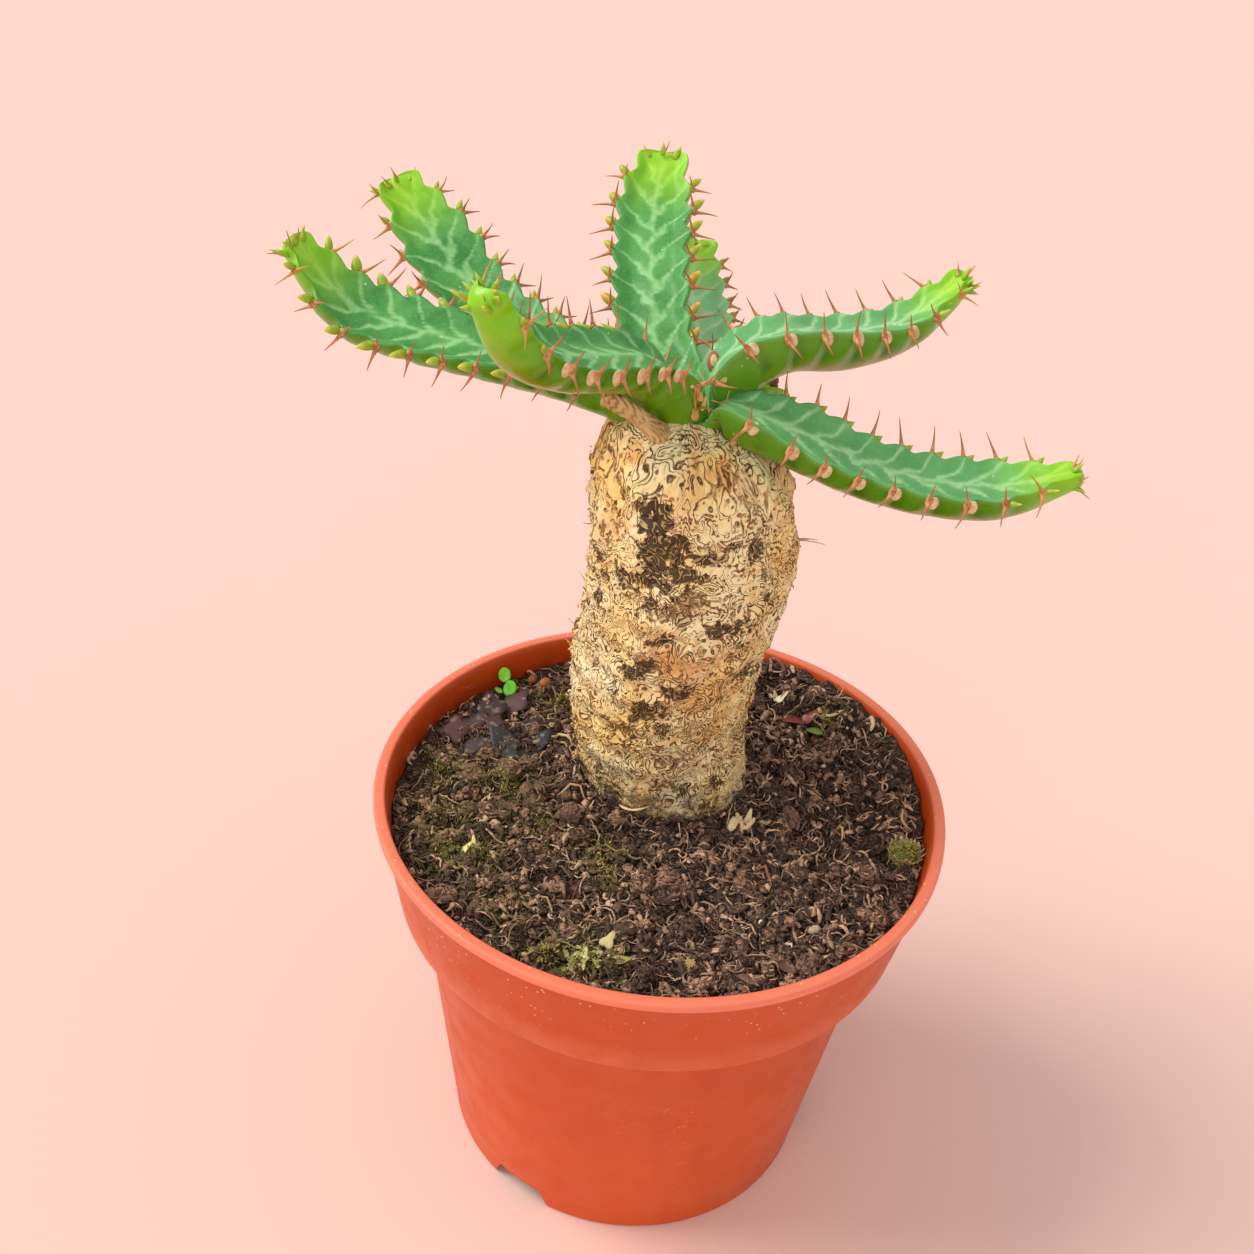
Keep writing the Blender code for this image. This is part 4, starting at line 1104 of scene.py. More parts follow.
# Rise, outward reach and lean of the upper and lower spine of each pair, as the photograph has them
PAIRS = {
    "stem_front_left": ((0.92, 0.30, 0.32), (-0.70, 0.52, -0.24)),
    "stem_front_right": ((0.95, 0.30, -0.30), (-0.66, 0.52, -0.34)),
    "stem_right": ((0.92, 0.32, -0.28), (-0.70, 0.52, 0.14)),
    "stem_centre": ((0.80, -0.16, 0.10), (-0.22, 0.86, -0.08)),
    "stem_left": ((0.95, 0.30, -0.3), (-0.72, 0.50, 0.2)),
    "stem_back_left": ((0.80, 0.36, 0.05), (-0.40, 0.78, -0.10)),
    "stem_back": ((0.80, 0.30, 0.05), (-0.30, 0.80, -0.10)),
    "stem_stub": ((0.95, 0.30, 0.04), (-0.68, 0.54, -0.22)),
}
# How much further than these the CAD model's upper and lower spines lean
CAD_LEANS = (0.04, -0.22)
SPINE_RADII = (0.46, 0.54)
# How much painted light brightens the upper face of some stems
FACE_PAINTED_LIGHT = {"stem_back": 0.8, "stem_right": 0.3, "stem_front_right": 0.22}
# Plumpness and pointedness of the buds
BUD_FORMS = {"stem_centre": (1.3, 0.45), "stem_left": (1.45, 0.5)}
# Sizes of the tip rosettes where they aren't 1
TIP_SIZES = {"stem_front_left": 1.3, "stem_back": 0.6}
CROWN_LEAVES = 8
# The left and the right margin
HANDS = (-1.0, 1.0)
TOOTH_MEAN = 0.6
LOBE_SHIFTS = (-1.0, -0.35, 0.35, 1.0)
LIP_RISE = 0.42
VEIN_GROOVE = 0.16
# Corners of a stem's rings above and below its margins
SIDES_ABOVE = 34
SIDES_BELOW = 24
# Spacing of the rings in a stem's skin, and in the body that tests what lies inside the stem
SKIN_STEP = 0.4
TEST_STEP = 1.6
# Reach and turns in degrees of the rings that close a stem's tip
NOSE_LENGTH = 2.1
NOSE_ANGLES = np.linspace(0.0, 76.0, 9)[1:]


def tooth_rise(distance, first, pitch):
    part = ((distance - first) / pitch) % 1.0
    up = 0.5 + 0.5 * np.cos(np.pi * np.minimum(part, TOOTH_APEX) / TOOTH_APEX)
    down = 0.5 - 0.5 * np.cos(np.pi * np.maximum(part - TOOTH_APEX, 0.0) / (1.0 - TOOTH_APEX))
    return np.where(part < TOOTH_APEX, up, down)


class Stem:
    """The CAD model's stem, with points given for arrays of distances from the root."""

    def __init__(self, stations, left, right):
        self.stations = np.array(stations, float)
        self.points = self.stations[:, :3]
        self.margins = {-1.0: left, 1.0: right}
        chord = self.points[-1] - self.points[0]
        self.side = unit(np.array([chord[1], -chord[0], 0.0]))
        self.last = len(stations) - 1
        self.marks = np.linspace(0.0, self.last, 20 * self.last + 1)
        steps = np.linalg.norm(np.diff(smooth_rows(self.points, self.marks), axis=0), axis=1)
        self.lengths = np.concatenate([[0.0], np.cumsum(steps)])
        self.length = self.lengths[-1]

    def place_at(self, distance):
        return np.interp(np.clip(np.atleast_1d(distance), 0.0, self.length), self.lengths, self.marks)

    def frame(self, distance):
        """Midline points, directions along and to the right, and face normals."""
        place = self.place_at(distance)
        ahead = smooth_rows(self.points, np.minimum(place + 0.02, self.last))
        along = unit(ahead - smooth_rows(self.points, np.maximum(place - 0.02, 0.0)))
        across = unit(self.side - along * (along @ self.side)[:, None])
        normal = np.cross(across, along)
        roll = np.radians(smooth_rows(self.stations[:, 5], place))
        turned = across * np.cos(roll) + normal * np.sin(roll)
        upward = normal * np.cos(roll) - across * np.sin(roll)
        return smooth_rows(self.points, place), along, turned, upward

    def half_width(self, distance):
        return smooth_rows(self.stations[:, 3], self.place_at(distance))[:, 0]

    def keel_depth(self, distance):
        return smooth_rows(self.stations[:, 4], self.place_at(distance))[:, 0]

    def tooth(self, distance, hand):
        """Rise of one margin above its mean line, for teeth that grow out of the bare neck."""
        growth = np.clip((distance - BARE_NECK) / BARE_NECK, 0.0, 1.0)
        return TOOTH_HEIGHT * growth * (tooth_rise(self.length - distance, *self.margins[hand]) - TOOTH_MEAN)

    def fine_tooth(self, distance, hand):
        """The same margin with its teeth swollen into rounder lobes."""
        rise = sum(self.tooth(distance + shift, hand) for shift in LOBE_SHIFTS) / (4.0 * TOOTH_HEIGHT)
        return 1.15 * TOOTH_HEIGHT * (np.maximum(rise + TOOTH_MEAN, 0.0) ** 0.65 - 0.68)

    def margin_point(self, distance, hand):
        centre, _, across, _ = self.frame(distance)
        reach = self.half_width(distance) + self.tooth(distance, hand)
        return (centre + across * (hand * reach)[:, None])[0]

    def teeth(self):
        found = []
        for hand in HANDS:
            first, pitch = self.margins[hand]
            distance = self.length - first
            while distance > SPINE_START:
                found.append((distance, hand))
                distance -= pitch
        return found

    def veins(self, distance, share, hand_side):
        """Strength of the pale midrib and of the veins that run out to the teeth."""
        field = fractal(6.0, int(self.length * 10), shape=(256, 256), cell=0.5)
        width = self.half_width(distance.ravel()).reshape(distance.shape)
        across = hand_side * share * width
        back = self.length - distance + 0.6 * sample(field, distance * 2.0, across * 2.0 + 60.0)
        zigzag = 0.0
        for hand in HANDS:
            first, pitch = self.margins[hand]
            zigzag = zigzag + hand * 0.5 * np.cos(2.0 * np.pi * ((back - first) / pitch - 0.9))
        middle = hand_side * share - 0.075 * zigzag + 0.05 * sample(field, distance * 2.0 + 90.0, across)
        share = np.minimum(np.abs(middle), 1.0)
        spread = 0.6 + 0.4 * (1.0 - share)
        spread = spread * (1.0 + 0.35 * sample(field, distance * 3.0 + 40.0, across * 3.0 + 20.0))
        strength = np.zeros_like(back)
        for hand in HANDS:
            first, pitch = self.margins[hand]
            phase = (back - 1.2 * pitch * (1.0 - share) ** 1.1 - first + 0.9) / pitch
            gap = np.abs(phase - np.round(phase)) * pitch
            line = np.exp(-(gap / spread) ** 2) * (0.7 + 0.3 * step_up(1.0 - share, 0.0, 0.5))
            strength = np.where(np.sign(middle) == hand, np.maximum(strength, line), strength)
        rib = np.exp(-(share * width / 0.65) ** 2)
        halo = 0.2 * np.exp(-(share * width / 2.2) ** 2)
        return np.maximum(strength, 0.8 * rib) * 0.9 + halo * (1.0 - strength)


def stem_grid(stem, step):
    """Rings of a stem's fine skin, with the values that its material needs."""
    count = max(8, int(round(stem.length / step)))
    distance = np.linspace(0.0, stem.length, count + 1)
    centre, along, across, normal = stem.frame(distance)
    half = stem.half_width(distance)[:, None]
    keel = stem.keel_depth(distance)[:, None]
    top = np.pi * np.arange(SIDES_ABOVE) / SIDES_ABOVE
    top = top - 0.16 * np.sin(2.0 * top)
    turn = np.concatenate([top, np.pi + np.pi * np.arange(SIDES_BELOW) / SIDES_BELOW])[None, :]
    cosine = np.cos(turn)
    sine = np.sin(turn)
    share = np.abs(cosine)
    upper = (turn < np.pi - 1e-6).astype(float)
    lower = 1.0 - upper
    left, right = (stem.fine_tooth(distance, hand)[:, None] for hand in HANDS)
    tooth = np.where(cosine >= 0.0, right, left)
    side = cosine * half + np.sign(cosine) * tooth * np.where(upper > 0, share ** 1.5, share ** 2.6)
    channel = CHANNEL_DEPTH * np.minimum(1.0, half / 7.0)
    dish = step_up(0.97 - share, 0.0, 0.45) * (1.0 - 0.25 * (1.0 - share) ** 2)
    lip = LIP_RISE * np.minimum(1.0, np.abs(sine) / 0.3) ** 0.6
    pillow = 0.34 * (tooth / TOOTH_HEIGHT + 0.3) * step_up(share, 0.25, 0.8)
    veins = stem.veins(np.broadcast_to(distance[:, None], side.shape), share, np.sign(cosine))
    groove = VEIN_GROOVE * veins * step_up(1.0 - share, 0.0, 0.2)
    rise_above = lip + pillow - (channel + LIP_RISE) * dish - groove
    rise_below = -keel * np.abs(sine) ** 1.28
    rise = np.where(upper > 0, rise_above, rise_below)
    grid = centre[:, None, :] + across[:, None, :] * side[..., None] + normal[:, None, :] * rise[..., None]
    lobe = np.clip(tooth / TOOTH_HEIGHT + TOOTH_MEAN, 0.0, 1.0)
    keel_share = step_up(-rise_below / keel, 0.45, 1.0) * step_up(distance, 12.0, 28.0)[:, None]
    values = {
        "vein": veins * upper,
        "face": upper * step_up(1.03 - share, 0.0, 0.06),
        # Painted sheen on the flank under the margin
        "edge": lower * step_up(share, 0.6, 0.97) * (0.25 + 0.75 * lobe),
        "low": lower * keel_share,
        "tip": step_up(distance[:, None] - stem.length, -17.0, -1.0),
        # Painted shade in the flank's valleys between the teeth
        "valley_shade": lower * np.exp(-((share - 0.8) / 0.13) ** 2) * step_up(-tooth / TOOTH_HEIGHT, -0.1, 0.5),
    }
    core = centre[-1] - normal[-1] * 0.3 * keel[-1, 0]
    noses = [
        core + along[-1] * NOSE_LENGTH * math.sin(turned) + (grid[-1] - core) * math.cos(turned)
        for turned in np.radians(NOSE_ANGLES)
    ]
    for key, rows in values.items():
        rows = rows * np.ones_like(side)
        values[key] = np.concatenate([rows, np.repeat(rows[-1:], len(noses), axis=0)])
    return np.concatenate([grid, noses]), values


def build_stem(name, stem, look):
    grid, values = stem_grid(stem, SKIN_STEP)
    # Painted light that brightens the upper face of some stems
    values["pale"] = np.full(grid.shape[:2], FACE_PAINTED_LIGHT.get(name, 0.0))
    values = {key: with_ends(rows, rows[0].mean(), rows[-1].mean()) for key, rows in values.items()}
    make_piece(name + "_skin", closed_grid(grid), look, name, values)


class Solid:
    """A test of whether points lie inside a closed body."""

    def __init__(self, grid):
        points, quads, triangles = closed_grid(grid)
        self.low = points.min(0)
        self.high = points.max(0)
        faces = quads.tolist() + triangles.tolist()
        self.tree = BVHTree.FromPolygons([Vector(point) for point in points], faces)

    def holds(self, point):
        if (point < self.low).any() or (point > self.high).any():
            return False
        inside = False
        start = Vector(point)
        ray = Vector((0.013, 0.007, 1.0)).normalized()
        while True:
            place = self.tree.ray_cast(start, ray)[0]
            if place is None:
                return inside
            inside = not inside
            start = place + ray * 1e-4


def curved_spine(root, tip, bow, radius, rows):
    """A tapering spine from root to tip with a slight bow."""
    part = np.linspace(0.0, 1.0, rows)
    path = root + (tip - root) * part[:, None] + bow * np.sin(np.pi * part)[:, None]
    radii = radius * (0.5 * (1.0 - part) ** 0.8 + 0.5 * (1.0 - part) ** 4) + 0.04
    return tube(path, radii, 6)


def leaf_axes(aim, normal, wide, thick, long):
    """Half axes of a leaf or bud that points along an aim."""
    first = unit(np.cross(aim, normal))
    return first * wide, np.cross(aim, first) * thick, aim * long


def build_crown(stem, detail, horn, buds, scale):
    """The rosette of pointed leaves and young spines at a stem's tip."""
    centre, along, across, normal = (rows[0] for rows in stem.frame(stem.length))
    wide = stem.half_width(stem.length)[0]
    deep = stem.keel_depth(stem.length)[0]
    middle = centre - normal * 0.4 * deep - along * 0.5
    for index in range(CROWN_LEAVES):
        turn = FULL_TURN * (index + detail.uniform(-0.25, 0.25)) / CROWN_LEAVES
        out = across * math.cos(turn) * wide * 0.8 + normal * math.sin(turn) * deep * 0.42
        root = middle + out * detail.uniform(0.75, 1.0) + along * detail.uniform(0.0, 0.9)
        aim = along * detail.uniform(0.5, 1.0) + unit(out) * detail.uniform(0.5, 0.9)
        ahead = unit(aim)
        long = scale * detail.uniform(0.8, 1.45)
        size = (scale * detail.uniform(0.7, 1.0), scale * detail.uniform(0.5, 0.7), long)
        leaf = ball(root + ahead * long * 0.75, leaf_axes(ahead, normal, *size), 8, 9, 0.85)
        buds.add(leaf, out=leaf[3], fresh=0.05)
        if index % 3 != 1 and not (scale < 1.0 and index % 2):
            lean = aim + across * detail.uniform(-0.7, 0.7) + normal * detail.uniform(-0.1, 0.9)
            tip = root + unit(lean) * detail.uniform(2.6, 4.2) * min(scale, 1.0)
            spine = curved_spine(root, tip, across * 0.15, 0.42, 7)
            horn.add(spine, out=spine[3], fresh=0.5)


def add_bud(name, buds, detail, seat, directions, size, near, back):
    """A plump bud just beyond a pair of spines; those of stem_centre are ripe, those of stem_left green."""
    along, outward, normal = directions
    lean = outward * (0.45 if near else 0.8) + along * 0.75 + normal * (0.25 if near else 0.1)
    if name == "stem_left" and near:
        lean = outward * 0.8 + along * 0.45 + normal * 0.35
    lean = unit(lean)
    plump, pointed = BUD_FORMS.get(name, (1.0, 0.8))
    wide = detail.uniform(0.75, 0.95) * size * plump
    long = detail.uniform(1.0, 1.35) * size * plump
    base = seat + along * 1.1 * size - outward * 0.15
    bud = ball(base + lean * long * 0.55, leaf_axes(lean, normal, wide, wide * 0.85, long), 8, 9, pointed)
    ripe = detail.uniform(0.5, 1.0) if detail.random() < 0.35 and back > 25.0 else 0.1
    if name == "stem_centre":
        ripe = 0.9 if back > 34.0 else 0.45
    elif name == "stem_left":
        ripe = 0.1
    buds.add(bud, out=bud[3], fresh=ripe)


def build_growths(name, stem, others, chance, looks):
    """Spines on their shields, cream scars beside the old ones and buds beside the young ones."""
    horn, scars, buds = Heap(), Heap(), Heap()
    detail = random.Random(len(name) * 7 + 3)
    short = 0.7 if name == "stem_back" else 1.0
    for distance, hand in stem.teeth():
        _, along, across, normal = (rows[0] for rows in stem.frame(distance))
        outward = across * hand
        root = stem.margin_point(distance, hand)
        length = SPINE_LENGTH * chance.uniform(0.85, 1.15)
        cad_tips = []
        tips = []
        for (rise, out), more, seen in zip((UPPER_SPINE, LOWER_SPINE), CAD_LEANS, PAIRS[name]):
            lean = chance.uniform(-0.3, 0.05)
            cad_tips.append(root + (normal * rise + outward * out + along * (lean + more)) * length)
            aim = normal * seen[0] + outward * seen[1] + along * (lean + 0.12 + seen[2])
            tips.append(root + aim * length * short)
        probes = [root + (tip - root) * part for tip in cad_tips for part in (0.15, 0.6, 1.0)]
        if any(solid.holds(probe) for probe in probes for solid in others):
            continue
        back = stem.length - distance
        fresh = step_up(12.0 - back, 0.0, 8.0)
        near = outward[1] < -0.3
        seat = root - outward * 0.1 - normal * 0.3
        size = 1.0 if back > 8.0 else 0.65 + 0.35 * back / 8.0
        slope = unit(outward * 0.75 + normal * 0.2)
        rising = unit(normal - slope * (normal @ slope))
        shield = ball(seat, (along * 0.78 * size, slope * 0.5 * size, rising * 1.15 * size))
        horn.add(shield, out=0.05 + 0.12 * np.abs(shield[3] - 0.5), fresh=fresh)
        for tip, radius, lift in zip(tips, SPINE_RADII, (0.4, -0.4)):
            bow = (outward * detail.uniform(-0.15, 0.3) + along * detail.uniform(-0.25, 0.25)) * 0.8
            start = seat + rising * lift * size + slope * 0.15
            spine = curved_spine(start, tip, bow, radius * size, 8)
            horn.add(spine, out=spine[3], fresh=fresh)
        if near and back > 15.0 and name != "stem_left":
            middle = seat + along * 1.05 - outward * 0.1 - normal * 0.35
            wide = detail.uniform(0.9, 1.15)
            scars.add(ball(middle, (along * wide, slope * 0.32, rising * wide * 1.3), 6, 12))
        else:
            add_bud(name, buds, detail, seat, (along, outward, normal), size, near, back)
    if name != "stem_stub":
        build_crown(stem, detail, horn, buds, TIP_SIZES.get(name, 1.0))
    for heap, suffix, look in zip((horn, scars, buds), ("_spines", "_scars", "_buds"), looks):
        if heap.count:
            heap.piece(name + suffix, look, "stem_green")


def build_stems():
    skin = stem_material()
    looks = (horn_material(), scar_material(), bud_material())
    stems = {name: Stem(**row) for name, row in STEMS.items()}
    solids = {name: Solid(stem_grid(stem, TEST_STEP)[0]) for name, stem in stems.items()}
    chance = random.Random(SEED)
    for name, stem in stems.items():
        build_stem(name, stem, skin)
        others = [solid for other, solid in solids.items() if other != name]
        build_growths(name, stem, others, chance, looks)


# Place, heading, tilt, half length, half width, cup, lobes, wave, tip and colour
DRY_SCALES = (
    (-1.7, 3.7, 178.4, 100.0, 62.0, 1.3, 0.7, 0.2, 3, 0.12, 0.5, (206, 148, 74)),
    (-1.1, 3.4, 182.2, 110.0, 50.0, 1.1, 0.5, -0.2, 3, 0.12, 0.5, (222, 166, 84)),
    (-0.3, 3.6, 180.4, 70.0, 65.0, 1.0, 0.45, 0.2, 2, 0.12, 0.5, (230, 182, 104)),
    (5.6, -2.4, 176.8, 40.0, 55.0, 1.1, 0.6, 0.2, 3, 0.15, 0.4, (172, 116, 66)),
    (1.0, 14.0, 184.4, 95.0, 50.0, 1.9, 1.3, -0.25, 2, 0.06, 0.1, (168, 104, 62)),
    (1.0, 13.75, 184.75, 95.0, 50.0, 1.1, 0.7, -0.2, 2, 0.06, 0.1, (228, 190, 140)),
    (2.9, 3.4, 178.6, 20.0, 60.0, 1.2, 0.7, 0.2, 3, 0.15, 0.3, (186, 120, 60)),
)
# Three points of a hair or shred, its radius and colour
CROWN_HAIRS = (
    (((-1.2, 3.9, 181.4), (-0.5, 4.4, 183.6), (0.1, 5.0, 185.2)), 0.13, (150, 190, 92)),
    (((2.0, 6.4, 181.0), (1.0, 5.6, 183.2), (0.1, 5.0, 185.2)), 0.13, (134, 176, 80)),
    (((-1.6, 4.0, 179.0), (-2.2, 1.6, 183.0), (-2.0, -0.4, 186.2)), 0.26, (206, 140, 66)),
    (((-1.4, 4.2, 179.6), (0.6, 2.0, 180.6), (2.2, 0.2, 180.8)), 0.24, (190, 122, 58)),
    (((-1.2, 4.8, 181.0), (-1.6, 5.2, 184.0), (-0.8, 5.0, 187.0)), 0.2, (214, 164, 84)),
    (((1.0, 6.8, 180.0), (3.4, 4.0, 181.0), (3.9, 2.2, 184.4)), 0.2, (196, 132, 66)),
    (((-1.0, 19.2, 182.0), (0.6, 17.6, 185.4), (0.2, 16.4, 189.0)), 0.22, (160, 92, 54)),
    (((0.6, 4.6, 178.6), (2.0, 2.6, 178.0), (4.4, 1.6, 178.6)), 0.2, (168, 104, 54)),
)
STUB_END = np.array([13.3, 21.0, 176.9])
STUB_LUMP = (0.8, 0.6, 0.55)
STUB_LUMPS = 14


def build_crown_bits(look):
    """Dry scales, hairs and shreds where the stems meet over the caudex, and the stub's corky end."""
    bits = Heap()
    for x, y, z, *form, colour in DRY_SCALES:
        bits.add(leaf_disk(np.array([x, y, z]), *form), tint=tint(colour))
    for path, radius, colour in CROWN_HAIRS:
        line = smooth_rows(path, np.linspace(0.0, 2.0, 9))
        bits.add(tube(line, radius * np.linspace(1.0, 0.3, 9), 5), tint=tint(colour))
    for index in range(STUB_LUMPS):
        turn = FULL_TURN * index / STUB_LUMPS
        around = np.array([0.3 * math.cos(turn), 2.0 * math.cos(turn), 1.9 * math.sin(turn)])
        centre = STUB_END + around * (0.75 + 0.25 * (index % 2))
        colour = (172 - 20 * (index % 3), 112 - 14 * (index % 3), 78)
        bits.add(ball(centre, np.diag(STUB_LUMP), 5, 7), tint=tint(colour))
    bits.piece("crown_bits", look, "stem_green")


# Soil

# Middle x, y, spread and strength of the mossy places
MOSS = (
    (-42.0, -17.0, 8.0, 1.0), (-46.0, -6.0, 8.0, 0.9), (-36.0, -16.0, 6.0, 0.9), (-13.0, -43.0, 8.0, 1.0),
    (-20.0, -42.0, 6.0, 0.8), (-11.0, -14.0, 7.0, 0.7), (-9.0, -18.0, 5.0, 0.8), (-34.0, 6.0, 10.0, 0.7),
    (-24.0, 36.0, 7.0, 0.6), (38.0, 33.0, 5.0, 0.4), (-29.0, -31.0, 6.0, 0.6), (10.0, 46.0, 7.0, 0.5),
    (-24.0, -6.0, 7.0, 0.4), (-48.0, 8.0, 8.0, 0.7),
)
MOSS_BALL = np.array([52.3, -7.0, 86.4])
# Place, height over the soil, heading, tilt, half length, half width, cup, lobes, wave, tip and colour
LEAVES = (
    (-37.9, 40.4, 3.8, 105.0, 45.0, 1.7, 1.55, 0.1, 2, 0.05, 0.0, (124, 220, 44)),
    (-36.3, 38.0, 2.4, 75.0, 45.0, 1.85, 1.65, 0.1, 2, 0.05, 0.0, (104, 208, 36)),
    (-38.8, 37.2, 1.2, 160.0, 20.0, 1.0, 0.8, 0.1, 2, 0.05, 0.0, (130, 196, 60)),
    (-43.4, 24.9, 1.5, 60.0, 24.0, 3.97, 3.25, -0.15, 4, 0.18, 0.1, (75, 53, 58)),
    (-39.5, 30.3, 1.95, 110.0, 22.0, 3.84, 3.12, -0.15, 4, 0.18, 0.1, (64, 48, 55)),
    (-35.8, 20.0, 2.1, 130.0, 24.0, 3.84, 3.12, -0.15, 3, 0.18, 0.1, (51, 47, 51)),
    (-34.4, 33.8, 1.2, 60.0, 20.0, 3.58, 2.6, -0.15, 4, 0.18, 0.1, (87, 55, 58)),
    (-34.4, 15.4, 1.45, 80.0, 20.0, 3.58, 2.99, -0.15, 3, 0.18, 0.1, (51, 50, 45)),
    (-46.3, 20.3, 1.8, 100.0, 25.0, 3.07, 2.6, -0.15, 4, 0.18, 0.1, (92, 59, 61)),
    (-38.4, 24.8, 2.0, 250.0, 5.0, 2.6, 2.1, -0.15, 4, 0.18, 0.1, (81, 51, 56)),
    (-31.6, 26.2, 1.4, 40.0, 20.0, 3.33, 2.6, -0.15, 3, 0.18, 0.1, (66, 45, 48)),
    (-41.7, 17.6, 1.65, 20.0, 15.0, 3.07, 2.6, -0.15, 3, 0.18, 0.1, (69, 50, 51)),
    (-27.4, 21.4, 1.2, 60.0, 22.0, 3.2, 2.0, -0.15, 2, 0.1, 0.2, (39, 41, 45)),
    (-31.2, 16.5, 1.5, 130.0, 18.0, 3.33, 2.47, -0.15, 3, 0.18, 0.1, (47, 45, 47)),
    (30.2, 35.4, 1.0, -30.0, 15.0, 3.1, 1.7, -0.2, 3, 0.12, 0.2, (128, 52, 46)),
    (33.6, 34.4, 1.1, 40.0, 25.0, 2.0, 1.3, -0.2, 3, 0.14, 0.2, (150, 76, 66)),
    (34.6, 30.8, 0.9, -50.0, 20.0, 2.3, 1.5, -0.2, 2, 0.1, 0.2, (116, 132, 58)),
    (7.8, -42.4, 0.9, -96.0, 25.0, 3.1, 0.95, 0.1, 12, 0.2, 0.2, (186, 158, 112)),
    (-8.2, -38.4, 0.9, 60.0, 25.0, 1.7, 1.3, -0.15, 3, 0.28, 0.1, (206, 190, 132)),
    (-5.2, -44.3, 1.1, -40.0, 30.0, 2.2, 1.5, 0.3, 2, 0.08, 0.1, (164, 162, 82)),
    (-3.5, -33.2, 0.7, -60.0, 10.0, 1.9, 0.8, 0.1, 2, 0.1, 0.3, (206, 176, 130)),
    (-39.3, -16.6, 1.3, 40.0, 30.0, 1.5, 0.9, 0.1, 3, 0.2, 0.3, (240, 236, 150)),
    (-37.6, -13.9, 1.2, 100.0, 20.0, 1.2, 0.6, 0.1, 3, 0.2, 0.3, (236, 226, 160)),
    (16.4, -0.9, 1.0, 20.0, 40.0, 1.7, 1.2, 0.3, 3, 0.24, 0.3, (244, 222, 178)),
    (17.6, -0.2, 1.3, 110.0, 40.0, 1.4, 1.0, -0.3, 3, 0.2, 0.3, (236, 208, 160)),
    (18.8, 0.2, 1.2, -30.0, 30.0, 1.6, 1.0, 0.3, 3, 0.2, 0.3, (226, 192, 142)),
    (19.6, 1.2, 1.5, 70.0, 45.0, 1.5, 0.8, 0.3, 3, 0.2, 0.3, (246, 226, 186)),
    (17.0, -2.0, 0.9, 160.0, 30.0, 1.2, 0.8, 0.2, 3, 0.2, 0.3, (222, 186, 138)),
    (27.2, 39.6, 1.0, 30.0, 30.0, 1.5, 0.9, 0.3, 3, 0.2, 0.3, (240, 232, 196)),
    (26.2, 41.0, 1.2, 120.0, 40.0, 1.1, 0.8, 0.3, 3, 0.2, 0.3, (226, 218, 170)),
    (-15.0, -42.0, 1.0, 20.0, 15.0, 1.3, 0.7, 0.1, 3, 0.2, 0.2, (222, 220, 150)),
    (-12.4, -43.6, 1.1, 80.0, 15.0, 1.2, 0.7, 0.1, 3, 0.2, 0.2, (212, 214, 140)),
    (-10.6, -41.6, 1.1, -50.0, 25.0, 1.2, 0.6, 0.1, 3, 0.2, 0.2, (232, 228, 168)),
    (-16.8, -44.8, 0.8, 10.0, 15.0, 1.5, 0.7, 0.1, 3, 0.2, 0.2, (176, 172, 76)),
    (42.8, -26.4, 0.7, 30.0, 10.0, 2.2, 1.2, 0.2, 2, 0.1, 0.2, (120, 92, 76)),
    (26.0, -40.6, 0.8, 160.0, 20.0, 2.4, 1.5, 0.3, 2, 0.1, 0.2, (112, 84, 70)),
    (19.4, -45.0, 0.8, 200.0, 20.0, 2.4, 1.5, 0.3, 2, 0.1, 0.2, (130, 98, 80)),
)
